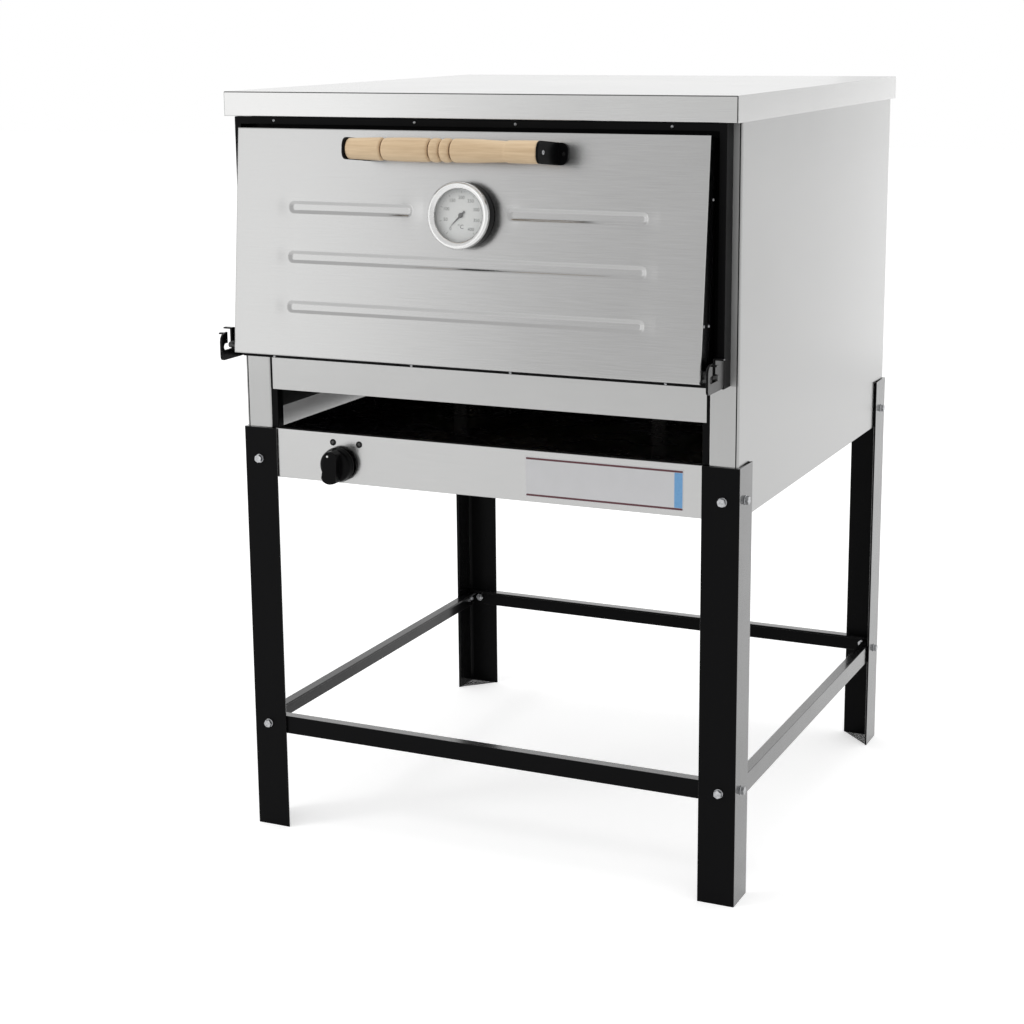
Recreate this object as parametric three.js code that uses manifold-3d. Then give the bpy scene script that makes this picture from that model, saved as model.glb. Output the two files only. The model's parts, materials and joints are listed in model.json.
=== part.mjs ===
// A gas pizza oven on four angle legs, in millimetres with +Z up.
// X runs to the right and Y to the back, so the door faces -Y.
// The stand is centred on X = 0 and Y = 0 until the last lines centre the whole object.

import * as THREE from 'three';
import { mergeVertices } from 'three/addons/utils/BufferGeometryUtils.js';
import Module from 'manifold-3d';

const wasm = await Module();
wasm.setup();

// Overall sizes, and the two distances used everywhere.
const standWidth = 700;
const standDepth = 683;
const ovenHeight = 1013;
const legHeight = 568;
const burnerPanelHeight = 67; // its top is level with the legs' tops
const gap = 0.3; // what two pieces that touch keep between them
const overrun = 4; // how far a cutting shape runs past what it cuts

// Angle legs and the braces between them.
const legFlange = 49;
const legSheet = 3;
const braceFlange = 25; // upright, against the legs
const braceFlat = 14; // lying, at the brace's top
const braceSheet = 3;
const braceTop = 162;

// Hexagon bolts that hold the legs.
const boltRadius = 3;
const boltHeadRadius = 6;
const boltHeadHeight = 4;
const washerRadius = 7.5;
const washerSheet = 1.2;
const nutHeight = 5;
const boltTail = 3;
const boltInset = 22; // from a leg's corner
const boltDrop = 43; // from the top of a leg to its upper bolts
const boltHoleClearance = 0.4;

// Stainless casing.
const casingSheet = 1.2;
const columnWidth = 38;
const columnReturn = 16;
const backPanelOverlap = 8;
const panelFlange = 22;
const slotShare = 0.1191; // lighting slot, as a share of the oven's height above its legs
const apronShare = 0.1056; // what shows of the apron, as a share of the same height
const apronHidden = 32;
const apronSeam = 3.2; // dark line between an apron end and its column

// Top cover.
const coverLip = 31.5;
const coverFrontReach = 23;
const coverBackReach = 15.6;
const coverSlack = 1.1;
const coverHem = 12;
const coverSeam = 0.5;

// Black posts at the ends of the lighting slot, and the heat shield behind it.
const postWidth = 8.4;
const postDepth = 25;
const postSheet = 2;
const shieldSheet = 1.2;
const shieldUpturn = 24;
const feedHoleClearance = 3;

// Floor rails and refractory slabs.
const railSheet = 2;
const railReach = 75;
const railLip = 20;
const slabThickness = 30;

// Chamber and its insulation.
const chamberSheet = 1.2;
const wallCavity = 44;
const backCavity = 50;
const topCavity = 68.2; // from the chamber's ceiling to the underside of the cover
const flueRadius = 30;
const flueSheet = 1.5;
const flueDrop = 45; // from the chamber's ceiling to the flue's centre
const flueReach = 8;

// Wire rack and its runners.
const rackShare = 0.4444; // height of the runners' tops, as a share of the chamber's height
const runnerLedge = 15;
const runnerLip = 20;
const runnerSheet = 1.5;
const runnerFrontInset = 20;
const runnerBackInset = 12;
const rackFrontInset = 60;
const rackEdgeRadius = 3;
const rackWireRadius = 2;
const rackWireCount = 13;

// Black frame round the door.
const frameInset = 11.7;
const frameDepth = 23;
const frameLip = 9;
const frameFoot = 20;
const frameSheet = 2;

// Door, which leans back at its head.
const doorSideGap = 5.5;
const doorHeadGap = 4;
const doorFootGap = 12;
const doorFootReach = 68; // from the column face to the door's lower front edge
const doorHeadReach = 39;
const doorThickness = 32;
const skinSheet = 1;
const skinReturn = 4;
const linerSheet = 1.2;
const doorPadMargin = 14;

// Beads pressed into the door skin.
const beadHalfWidth = 8;
const beadRelief = 2.2;
const beadSlope = 2.4;
const beadCorner = 3;
const beadLeftMargin = 79;
const beadRightMargin = 73.5;
const beadInnerReach = 65;
const beadRowRise = 3; // from the thermometer's centre up to the first row
const lowerRowShares = [0.8726, 0.4363]; // the other rows, as shares of the height under the thermometer

// Seat that the door closes on.
const seatSheet = 1.5;
const seatGap = 3.6;
const mouthSill = 3;
const mouthHeadDrop = 5;

// Hinge pins and the slotted brackets that carry them.
const pinRadius = 4;
const pinRise = 8.5;
const pinCollarRadius = 7;
const pinTail = 3;
const pinChamfer = 0.8;
const pinNutRadius = 5.5;
const pinNutLength = 3;
const bracketSheet = 3;
const bracketFrontReach = 28;
const bracketDrop = 17.3;
const bracketRise = 23;
const bracketFrontDrop = 4;
const bracketBackRise = 17;
const bracketCorner = 6;
const bracketCrown = 12;
const slotStep = 8; // from the pin forward to the slot's way in
const slotEntryHalf = 5;
const slotFootReach = 18;
const frontLipLength = 7;
const backLipLength = 10;
const slotLipWidth = 6;
const slotLipSheet = 2;

// Turned handle and its end brackets.
const gripHalfLength = 128;
const gripRadius = 14.7;
const gripDrop = 25; // from the door's head to the grip's centre
const gripStandoff = 50;
const handlePlateSheet = 3;
const handlePlateHalfHeight = 13.5;
const handleFoot = 12;

// Thermometer.
const dialX = 8;
const dialShare = 0.6476; // height of its centre, as a share of the door's height
const caseRadius = 40.2;
const caseWall = 2.5;
const caseDepth = 18;
const caseFloor = 10;
const bezelRadius = 41.5;
const bezelSkirt = 2;
const bezelCrown = 4.6;
const bezelOpening = 32.5;
const dialSheet = 1;
const glassSheet = 2;
const stemRadius = 4.5;
const stemReach = 50; // beyond the back of the door
const stemNutRadius = 9;
const stemNutHeight = 6;
const needleLength = 20;
const needleTail = 7;
const needleSheet = 0.8;
const needleHubRadius = 3;
const needlePinRadius = 1.2;
const needleHalfWidth = 1.3;

// Knob, valve and gas pipes.
const knobInset = 100.5; // from the left end of the burner panel
const knobHeight = 26; // above the bottom of the burner panel
const knobRadius = 23.5;
const knobSkirt = 7;
const knobBodyRadius = 18.5;
const knobBodyHeight = 15;
const knobGripHalfWidth = 5;
const knobGripHeight = 25;
const knobStandoff = 5;
const knobBore = 18;
const spindleRadius = 4;
const spindleHoleClearance = 2;
const runningClearance = 0.3;
const valveRadius = 14;
const valveFlangeRadius = 20;
const valveFlangeSheet = 3;
const valveNeck = 12;
const valveLength = 46;
const chestRadius = 8;
const chestLength = 22;
const spindleEntry = 3;
const plungerLength = 8;
const inletOffset = 38;
const inletBossRadius = 8;
const pipeRadius = 10.6;
const pipeBore = 8;
const pipeCollarRadius = 15;
const pipeCollarLength = 8;
const pipeReach = 30;
const feedRadius = 8;
const feedBend = 40;
const feedY = 120;
const burnerRadius = 16;
const burnerFront = -200;
const burnerBack = 240;
const burnerDrop = 35; // from the top of the rails to the tubes' centre
const burnerFootHalfWidth = 10;
const burnerFootSheet = 3;
const burnerFootInset = 110;

// Numbers of facets.
const hexSides = 6;
const boltSides = 8;
const washerSides = 12;
const pipeSides = 16;
const roundSides = 36;
const bendSteps = 6;
const cornerSteps = 4;

// Places worked out from the sizes above.
const standHalfWidth = standWidth / 2;
const standHalfDepth = standDepth / 2;
const casingHalfWidth = standHalfWidth - legSheet - gap;
const casingHalfDepth = standHalfDepth - legSheet - gap;
const frontPlane = -casingHalfDepth;
const casingTop = ovenHeight - casingSheet - gap;
const coverBottom = ovenHeight - coverLip;
const casingBottom = legHeight - burnerPanelHeight;
const casingRise = ovenHeight - legHeight;
const boltX = standHalfWidth - boltInset;
const boltY = standHalfDepth - boltInset;
const upperBoltZ = legHeight - boltDrop;
const lowerBoltZ = braceTop - braceFlange / 2;
const apronBottom = legHeight + slotShare * casingRise;
const frameBottom = apronBottom + apronShare * casingRise;
const apronTop = frameBottom + apronHidden;
const columnInnerX = casingHalfWidth - columnWidth;
const columnClearX = columnInnerX - gap;
const panelEndX = columnInnerX - apronSeam;
const postInnerX = columnClearX - postWidth;
const knobX = knobInset - panelEndX;
const behindPanel = frontPlane + casingSheet + gap;
const behindPost = behindPanel + postSheet + gap;
const behindPostSide = behindPanel + postDepth + gap;
const sideInnerX = casingHalfWidth - casingSheet - gap;
const backPanelY = casingHalfDepth - casingSheet - gap;
const backInnerY = backPanelY - casingSheet - gap;
const railTop = apronTop - slabThickness;
const slabBottom = railTop + gap;
const slabTop = slabBottom + slabThickness;
const chamberHalfWidth = sideInnerX - wallCavity - chamberSheet;
const chamberOuterX = chamberHalfWidth + chamberSheet;
const chamberBackY = backInnerY - backCavity;
const roofBottom = casingTop - topCavity;
const roofTop = roofBottom + chamberSheet;
const flueZ = roofBottom - flueDrop;
const headerBottom = roofTop + gap;
const runnerTop = slabTop + rackShare * (roofBottom - slabTop);
const frameTop = coverBottom - coverSeam;
const frameHalfWidth = casingHalfWidth - frameInset;
const frameFaceY = frontPlane - gap - frameDepth;
const doorHalfWidth = frameHalfWidth - frameLip - doorSideGap;
const doorBottom = frameBottom + doorFootGap;
const doorTop = frameTop - frameLip - doorHeadGap;
const doorFootY = frontPlane - doorFootReach;
const doorLean = Math.atan2(doorFootReach - doorHeadReach, doorTop - doorBottom);
const doorHeight = (doorTop - doorBottom) / Math.cos(doorLean);
const pinDepth = doorThickness / 2;
const pinY = doorFootY + pinDepth * Math.cos(doorLean) + pinRise * Math.sin(doorLean);
const pinZ = doorBottom - pinDepth * Math.sin(doorLean) + pinRise * Math.cos(doorLean);
const bracketOuterX = frameHalfWidth - gap;
const bracketX = bracketOuterX - bracketSheet;
const beadLeft = beadLeftMargin - doorHalfWidth;
const beadRight = doorHalfWidth - beadRightMargin;
const linerEdge = skinSheet + gap;
const linerHalfWidth = doorHalfWidth - linerEdge;
const gripZ = doorHeight - gripDrop;
const dialZ = dialShare * doorHeight;
const knobZ = casingBottom + knobHeight;
const valveY = behindPanel;
const valveEndY = valveY + valveLength;
const chestY = valveY + valveNeck;
const burnerZ = railTop - burnerDrop;
const burnerHalfSpacing = chamberHalfWidth / 2;
const shieldBottom = legHeight + gap;
const shieldTop = shieldBottom + shieldSheet;

// Finishes.
const finishes = {
  stainless: { color: 0xd2d3d2, roughness: 0.32, metalness: 1 },
  polished: { color: 0xe2e2e0, roughness: 0.12, metalness: 1 },
  zinc: { color: 0xb9bcbc, roughness: 0.35, metalness: 1 },
  blackPaint: { color: 0x161617, roughness: 0.38, metalness: 0.1 },
  blackPlastic: { color: 0x121212, roughness: 0.3, metalness: 0 },
  enamel: { color: 0x1c1c1e, roughness: 0.28, metalness: 0 },
  wood: { color: 0xdcb98c, roughness: 0.55, metalness: 0 },
  dial: { color: 0xd7d8d6, roughness: 0.6, metalness: 0 },
  glass: { color: 0xf2f5f5, roughness: 0.05, metalness: 0, transparent: true, opacity: 0.2 },
  refractory: { color: 0xc9b393, roughness: 0.9, metalness: 0 },
  wool: { color: 0xd8cfa8, roughness: 1, metalness: 0 },
  castIron: { color: 0x2a2a2b, roughness: 0.7, metalness: 0.4 },
  brass: { color: 0xb5954f, roughness: 0.35, metalness: 1 },
};

const axisX = new THREE.Vector3(1, 0, 0);
const axisY = new THREE.Vector3(0, 1, 0);
const axisZ = new THREE.Vector3(0, 0, 1);
const outward = new THREE.Vector3(0, -1, 0); // out of the oven's front
const sides = { left: -1, right: 1 };
const ends = { front: -1, back: 1 };

// A copy with positions only and shared vertices.
function welded(geometry) {
  const bare = geometry.clone();
  bare.deleteAttribute('normal');
  bare.deleteAttribute('uv');
  return mergeVertices(bare);
}

function solidOf(geometry) {
  const shape = welded(geometry);
  const mesh = new wasm.Mesh({
    numProp: 3,
    vertProperties: new Float32Array(shape.attributes.position.array),
    triVerts: new Uint32Array(shape.index.array),
  });
  return new wasm.Manifold(mesh);
}

function geometryOf(solid) {
  const mesh = solid.getMesh();
  const geometry = new THREE.BufferGeometry();
  geometry.setAttribute('position', new THREE.BufferAttribute(mesh.vertProperties, 3));
  geometry.setIndex(new THREE.BufferAttribute(mesh.triVerts, 1));
  geometry.computeVertexNormals();
  return geometry;
}

function join(...shapes) {
  return geometryOf(shapes.map(solidOf).reduce((whole, next) => whole.add(next)));
}

function cut(base, ...tools) {
  return geometryOf(tools.map(solidOf).reduce((rest, tool) => rest.subtract(tool), solidOf(base)));
}

// The piece for another side: mirrored by the signs, with its faces turned to point out again.
function mirrored(geometry, signX, signY = 1) {
  const copy = welded(geometry).scale(signX, signY, 1);
  if (signX * signY < 0) {
    const index = copy.index.array;
    for (let corner = 0; corner < index.length; corner += 3) {
      const first = index[corner];
      index[corner] = index[corner + 1];
      index[corner + 1] = first;
    }
  }
  copy.computeVertexNormals();
  return copy;
}

function block(lowX, highX, lowY, highY, lowZ, highZ) {
  const box = new THREE.BoxGeometry(highX - lowX, highY - lowY, highZ - lowZ);
  return box.translate((lowX + highX) / 2, (lowY + highY) / 2, (lowZ + highZ) / 2);
}

function outline(points) {
  return new THREE.Shape(points.map(([across, up]) => new THREE.Vector2(across, up)));
}

// A shape drawn in Y and Z, and run along X.
function shapeAlongX(shape, lowX, highX) {
  const depth = highX - lowX;
  const settings = { depth, bevelEnabled: false, curveSegments: cornerSteps };
  const run = new THREE.ExtrudeGeometry(shape, settings);
  run.applyMatrix4(new THREE.Matrix4().makeBasis(axisY, axisZ, axisX));
  return run.translate(lowX, 0, 0);
}

// An outline of [y, z] points run along X.
function alongX(points, lowX, highX) {
  return shapeAlongX(outline(points), lowX, highX);
}

// An outline of [x, z] points run along Y.
function alongY(points, lowY, highY) {
  const settings = { depth: highY - lowY, bevelEnabled: false };
  const run = new THREE.ExtrudeGeometry(outline(points), settings);
  run.applyMatrix4(new THREE.Matrix4().makeBasis(axisX, axisZ, outward));
  return run.translate(0, highY, 0);
}

// An outline of [x, y] points run up Z.
function alongZ(points, lowZ, highZ) {
  const settings = { depth: highZ - lowZ, bevelEnabled: false };
  return new THREE.ExtrudeGeometry(outline(points), settings).translate(0, 0, lowZ);
}

// A straight round or many-sided bar between two points.
function rod(radius, from, to, count = pipeSides) {
  const start = new THREE.Vector3(...from);
  const end = new THREE.Vector3(...to);
  const run = end.clone().sub(start);
  const bar = new THREE.CylinderGeometry(radius, radius, run.length(), count);
  bar.applyQuaternion(new THREE.Quaternion().setFromUnitVectors(axisY, run.clone().normalize()));
  const middle = start.lerp(end, 1 / 2);
  return bar.translate(middle.x, middle.y, middle.z);
}

// A profile of [radius, height] points turned about an axis that starts at the given place.
// The profile runs anticlockwise: outwards at its foot and back at its head.
function turned(points, axis, [x, y, z], count = pipeSides) {
  const profile = points.map(([radius, height]) => new THREE.Vector2(radius, height));
  const lathe = new THREE.LatheGeometry(profile, count);
  lathe.applyQuaternion(new THREE.Quaternion().setFromUnitVectors(axisY, axis));
  return lathe.translate(x, y, z);
}

function addPiece(group, name, geometry, finish) {
  const piece = new THREE.Mesh(geometry, new THREE.MeshStandardMaterial(finishes[finish]));
  piece.name = name;
  group.add(piece);
}

// A leg bolt from a flange's outer face: washer and head outside, nut behind what it clamps.
function legBolt([x, y, z], axis, clamped) {
  const place = (height) => [x + axis.x * height, y + axis.y * height, z];
  const nutFace = -legSheet - clamped - 2 * gap;
  const nutEnd = nutFace - nutHeight;
  const root = -legSheet / 2;
  const headTop = washerSheet + boltHeadHeight;
  return join(
    rod(washerRadius, place(root), place(washerSheet), washerSides),
    rod(boltHeadRadius, place(root), place(headTop), hexSides),
    rod(boltRadius, place(nutEnd - boltTail), place(root / 2), hexSides),
    rod(boltHeadRadius, place(nutEnd), place(nutFace), hexSides),
  );
}

// The leg of the +X, +Y corner with its four bolts.
function cornerLeg() {
  const innerX = standHalfWidth - legSheet;
  const innerY = standHalfDepth - legSheet;
  const edgeX = standHalfWidth - legFlange;
  const edgeY = standHalfDepth - legFlange;
  const angle = alongZ([
    [standHalfWidth, edgeY],
    [standHalfWidth, standHalfDepth],
    [edgeX, standHalfDepth],
    [edgeX, innerY],
    [innerX, innerY],
    [innerX, edgeY],
  ], 0, legHeight);
  return join(
    angle,
    legBolt([boltX, standHalfDepth, upperBoltZ], axisY, casingSheet),
    legBolt([standHalfWidth, boltY, upperBoltZ], axisX, casingSheet),
    legBolt([boltX, standHalfDepth, lowerBoltZ], axisY, braceSheet),
    legBolt([standHalfWidth, boltY, lowerBoltZ], axisX, braceSheet),
  );
}

// A cutter for a bolt that runs along Y or X.
function boltHoleY(x, y, z) {
  return rod(boltRadius + boltHoleClearance, [x, y - overrun, z], [x, y + overrun, z], boltSides);
}

function boltHoleX(x, y, z) {
  return rod(boltRadius + boltHoleClearance, [x - overrun, y, z], [x + overrun, y, z], boltSides);
}

// The brace between the two legs at the back.
function crossBrace() {
  const faceY = casingHalfDepth;
  const halfLength = casingHalfWidth - braceSheet - gap;
  const angle = alongX([
    [faceY, braceTop],
    [faceY - braceFlat, braceTop],
    [faceY - braceFlat, braceTop - braceSheet],
    [faceY - braceSheet, braceTop - braceSheet],
    [faceY - braceSheet, braceTop - braceFlange],
    [faceY, braceTop - braceFlange],
  ], -halfLength, halfLength);
  return cut(angle, boltHoleY(-boltX, faceY, lowerBoltZ), boltHoleY(boltX, faceY, lowerBoltZ));
}

// The brace of the right side: its flat flange runs under those of the cross braces.
function sideBrace() {
  const faceX = casingHalfWidth;
  const top = braceTop - braceSheet - gap;
  const reach = casingHalfDepth - braceSheet - gap;
  const angle = alongY([
    [faceX, top - braceFlange],
    [faceX, top],
    [faceX - braceFlat, top],
    [faceX - braceFlat, top - braceSheet],
    [faceX - braceSheet, top - braceSheet],
    [faceX - braceSheet, top - braceFlange],
  ], -reach, reach);
  return cut(angle, boltHoleX(faceX, -boltY, lowerBoltZ), boltHoleX(faceX, boltY, lowerBoltZ));
}

function addStand(oven) {
  const leg = cornerLeg();
  for (const [end, signY] of Object.entries(ends)) {
    for (const [side, signX] of Object.entries(sides)) {
      addPiece(oven, `leg_${end}_${side}`, mirrored(leg, signX, signY), 'blackPaint');
    }
    addPiece(oven, `brace_${end}`, mirrored(crossBrace(), 1, signY), 'blackPaint');
  }
  for (const [side, signX] of Object.entries(sides)) {
    addPiece(oven, `brace_${side}`, mirrored(sideBrace(), signX), 'blackPaint');
  }
}

// The right side panel: one sheet folded round to the front column and the back flange.
function sidePanel() {
  const innerX = casingHalfWidth - casingSheet;
  const innerY = casingHalfDepth - casingSheet;
  const sheet = alongZ([
    [columnInnerX, frontPlane],
    [casingHalfWidth, frontPlane],
    [casingHalfWidth, casingHalfDepth],
    [columnInnerX, casingHalfDepth],
    [columnInnerX, innerY],
    [innerX, innerY],
    [innerX, -innerY],
    [columnInnerX + casingSheet, -innerY],
    [columnInnerX + casingSheet, frontPlane + columnReturn],
    [columnInnerX, frontPlane + columnReturn],
  ], casingBottom, casingTop);
  return cut(
    sheet,
    boltHoleY(boltX, frontPlane, upperBoltZ),
    boltHoleY(boltX, casingHalfDepth, upperBoltZ),
    boltHoleX(casingHalfWidth, -boltY, upperBoltZ),
    boltHoleX(casingHalfWidth, boltY, upperBoltZ),
  );
}

// The back panel lies inside the back flanges and lets the flue and the gas pipe out.
function backPanel() {
  const halfWidth = columnInnerX + backPanelOverlap;
  const inner = backPanelY - casingSheet;
  const sheet = alongX([
    [backPanelY, casingBottom],
    [backPanelY, casingTop],
    [inner, casingTop],
    [inner, casingBottom + casingSheet],
    [inner - panelFlange, casingBottom + casingSheet],
    [inner - panelFlange, casingBottom],
  ], -halfWidth, halfWidth);
  const pipeX = knobX - inletOffset;
  const reach = panelFlange + overrun;
  const pipeHole = rod(pipeRadius + gap, [pipeX, inner - reach, knobZ], [pipeX, backPanelY + overrun, knobZ]);
  const flueHole = rod(flueRadius + gap, [0, inner - overrun, flueZ], [0, backPanelY + overrun, flueZ], roundSides);
  return cut(sheet, pipeHole, flueHole);
}

// The top cover: an upturned tray whose front and back lips have a hem folded inwards.
function topCover() {
  const halfWidth = casingHalfWidth + coverSlack + casingSheet;
  const front = -standHalfDepth - coverFrontReach;
  const back = standHalfDepth + coverBackReach;
  const innerX = halfWidth - casingSheet;
  const innerTop = ovenHeight - casingSheet;
  const hemTop = coverBottom + casingSheet;
  const low = coverBottom - overrun;
  return cut(
    block(-halfWidth, halfWidth, front, back, coverBottom, ovenHeight),
    block(-innerX, innerX, front + casingSheet, back - casingSheet, hemTop, innerTop),
    block(-innerX, innerX, front + coverHem, back - coverHem, low, innerTop),
  );
}

function frontHeader() {
  return alongX([
    [frontPlane, headerBottom],
    [frontPlane + panelFlange, headerBottom],
    [frontPlane + panelFlange, headerBottom + casingSheet],
    [frontPlane + casingSheet, headerBottom + casingSheet],
    [frontPlane + casingSheet, casingTop],
    [frontPlane, casingTop],
  ], -columnClearX, columnClearX);
}

// The apron: a face between the columns, with a flange folded back at its lower edge.
function apron() {
  const flangeX = postInnerX - gap;
  const inner = frontPlane + casingSheet;
  return join(
    block(-panelEndX, panelEndX, frontPlane, inner, apronBottom, apronTop),
    block(-flangeX, flangeX, frontPlane, frontPlane + panelFlange, apronBottom, apronBottom + casingSheet),
  );
}

// The burner panel between the front legs, with a hole for the spindle.
function burnerPanel() {
  const flangeX = postInnerX - gap;
  const inner = frontPlane + casingSheet;
  const flangeY = frontPlane + panelFlange;
  const face = join(
    block(-panelEndX, panelEndX, frontPlane, inner, casingBottom, legHeight),
    block(-flangeX, flangeX, frontPlane, flangeY, casingBottom, casingBottom + casingSheet),
    block(-flangeX, flangeX, frontPlane, flangeY, legHeight - casingSheet, legHeight),
  );
  const holeRadius = spindleRadius + spindleHoleClearance;
  return cut(face, rod(holeRadius, [knobX, frontPlane - overrun, knobZ], [knobX, inner + overrun, knobZ]));
}

function addCasing(oven) {
  for (const [side, signX] of Object.entries(sides)) {
    addPiece(oven, `side_panel_${side}`, mirrored(sidePanel(), signX), 'stainless');
  }
  addPiece(oven, 'back_panel', backPanel(), 'stainless');
  addPiece(oven, 'top_cover', topCover(), 'stainless');
  addPiece(oven, 'front_header', frontHeader(), 'stainless');
  addPiece(oven, 'apron', apron(), 'stainless');
  addPiece(oven, 'burner_panel', burnerPanel(), 'stainless');
}

// The right post, an angle that the ends of the apron and the burner panel are screwed to.
function slotPost() {
  return alongZ([
    [postInnerX, behindPanel],
    [columnClearX, behindPanel],
    [columnClearX, behindPanel + postDepth],
    [columnClearX - postSheet, behindPanel + postDepth],
    [columnClearX - postSheet, behindPanel + postSheet],
    [postInnerX, behindPanel + postSheet],
  ], casingBottom, apronTop);
}

// The heat shield rests on the burner panel's upper flange and turns up at the back panel.
function heatShield() {
  const halfWidth = postInnerX - gap;
  const sheet = alongX([
    [behindPanel, shieldBottom],
    [backInnerY, shieldBottom],
    [backInnerY, shieldTop + shieldUpturn],
    [backInnerY - shieldSheet, shieldTop + shieldUpturn],
    [backInnerY - shieldSheet, shieldTop],
    [behindPanel, shieldTop],
  ], -halfWidth, halfWidth);
  const holeRadius = feedRadius + feedHoleClearance;
  return cut(sheet, rod(holeRadius, [knobX, feedY, shieldBottom - overrun], [knobX, feedY, shieldTop + overrun]));
}

// The right floor rail carries the slabs, the chamber wall and the side insulation.
function sideRail() {
  const innerX = sideInnerX - railReach;
  const lip = railTop - railLip;
  return alongY([
    [innerX, lip],
    [innerX + railSheet, lip],
    [innerX + railSheet, railTop - railSheet],
    [sideInnerX - railSheet, railTop - railSheet],
    [sideInnerX - railSheet, lip],
    [sideInnerX, lip],
    [sideInnerX, railTop],
    [innerX, railTop],
  ], behindPostSide, backInnerY);
}

function frontRail() {
  const halfWidth = postInnerX - gap;
  const back = behindPanel + postDepth;
  return alongX([
    [behindPanel, railTop - railLip],
    [behindPanel + railSheet, railTop - railLip],
    [behindPanel + railSheet, railTop - railSheet],
    [back, railTop - railSheet],
    [back, railTop],
    [behindPanel, railTop],
  ], -halfWidth, halfWidth);
}

function backRail() {
  const halfWidth = sideInnerX - railReach - gap;
  const front = backInnerY - railReach;
  const inner = backInnerY - railSheet;
  return alongX([
    [backInnerY, railTop - railLip],
    [backInnerY, railTop],
    [front, railTop],
    [front, railTop - railSheet],
    [inner, railTop - railSheet],
    [inner, railTop - railLip],
  ], -halfWidth, halfWidth);
}

function addFloor(oven) {
  for (const [side, signX] of Object.entries(sides)) {
    addPiece(oven, `slot_post_${side}`, mirrored(slotPost(), signX), 'blackPaint');
    addPiece(oven, `floor_rail_${side}`, mirrored(sideRail(), signX), 'enamel');
    const slab = block(gap, chamberHalfWidth - gap, behindPost, chamberBackY - gap, slabBottom, slabTop);
    addPiece(oven, `floor_slab_${side}`, mirrored(slab, signX), 'refractory');
  }
  addPiece(oven, 'floor_rail_front', frontRail(), 'enamel');
  addPiece(oven, 'floor_rail_back', backRail(), 'enamel');
  addPiece(oven, 'heat_shield', heatShield(), 'enamel');
}

// The chamber's back wall with the flue collar welded in its hole.
function chamberBack() {
  const outerY = chamberBackY + chamberSheet;
  const collarEnd = backPanelY + flueReach;
  const halfWidth = chamberHalfWidth - gap;
  const wall = block(-halfWidth, halfWidth, chamberBackY, outerY, slabBottom, roofBottom - gap);
  const collar = rod(flueRadius, [0, chamberBackY, flueZ], [0, collarEnd, flueZ], roundSides);
  const bore = rod(flueRadius - flueSheet, [0, chamberBackY - overrun, flueZ],
    [0, collarEnd + overrun, flueZ], roundSides);
  return cut(join(wall, collar), bore);
}

function backInsulation() {
  const front = chamberBackY + chamberSheet + gap;
  const pad = block(-chamberOuterX, chamberOuterX, front, backInnerY, slabBottom, casingTop - gap);
  const holeRadius = flueRadius + gap;
  return cut(pad, rod(holeRadius, [0, front - overrun, flueZ], [0, backInnerY + overrun, flueZ], roundSides));
}

// The right rack runner, an angle on the chamber wall.
function rackRunner() {
  const wallX = chamberHalfWidth - gap;
  const inner = wallX - runnerSheet;
  return alongY([
    [wallX, runnerTop - runnerLip],
    [wallX, runnerTop],
    [wallX - runnerLedge, runnerTop],
    [wallX - runnerLedge, runnerTop - runnerSheet],
    [inner, runnerTop - runnerSheet],
    [inner, runnerTop - runnerLip],
  ], behindPost + runnerFrontInset, chamberBackY - runnerBackInset);
}

// The wire rack: a stout rim and middle bar with thinner wires from front to back.
function ovenRack() {
  const halfWidth = chamberHalfWidth - gap - runnerSheet - gap - rackEdgeRadius;
  const front = behindPost + rackFrontInset;
  const back = chamberBackY - runnerBackInset;
  const z = runnerTop + gap + rackEdgeRadius;
  const middle = (front + back) / 2;
  const corner = rackEdgeRadius / 2;
  const bars = [
    rod(rackEdgeRadius, [-halfWidth, front, z], [-halfWidth, back, z], boltSides),
    rod(rackEdgeRadius, [halfWidth, front, z], [halfWidth, back, z], boltSides),
    rod(rackEdgeRadius, [-halfWidth - corner, middle, z], [halfWidth + corner, middle, z], boltSides),
    rod(rackEdgeRadius, [-halfWidth - corner, front, z], [halfWidth + corner, front, z], boltSides),
    rod(rackEdgeRadius, [-halfWidth - corner, back, z], [halfWidth + corner, back, z], boltSides),
  ];
  for (let wire = 1; wire <= rackWireCount; wire += 1) {
    const x = -halfWidth + (2 * halfWidth * wire) / (rackWireCount + 1);
    bars.push(rod(rackWireRadius, [x, front, z], [x, back, z], hexSides));
  }
  return join(...bars);
}

function addChamber(oven) {
  const wallBack = chamberBackY + chamberSheet;
  const wallTop = roofBottom - gap;
  const padTop = casingTop - gap;
  const padBottom = headerBottom + casingSheet + gap;
  for (const [side, signX] of Object.entries(sides)) {
    const wall = block(chamberHalfWidth, chamberOuterX, behindPost, wallBack, slabBottom, wallTop);
    addPiece(oven, `chamber_wall_${side}`, mirrored(wall, signX), 'enamel');
    const pad = block(chamberOuterX + gap, sideInnerX, behindPostSide, backInnerY, slabBottom, padTop);
    addPiece(oven, `insulation_${side}`, mirrored(pad, signX), 'wool');
    addPiece(oven, `rack_runner_${side}`, mirrored(rackRunner(), signX), 'enamel');
  }
  const roof = block(-chamberOuterX, chamberOuterX, behindPost, wallBack, roofBottom, roofTop);
  addPiece(oven, 'chamber_roof', roof, 'enamel');
  addPiece(oven, 'chamber_back', chamberBack(), 'enamel');
  const topPad = block(-chamberOuterX, chamberOuterX, behindPanel, wallBack, padBottom, padTop);
  addPiece(oven, 'insulation_top', topPad, 'wool');
  addPiece(oven, 'insulation_back', backInsulation(), 'wool');
  addPiece(oven, 'oven_rack', ovenRack(), 'polished');
}

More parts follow.
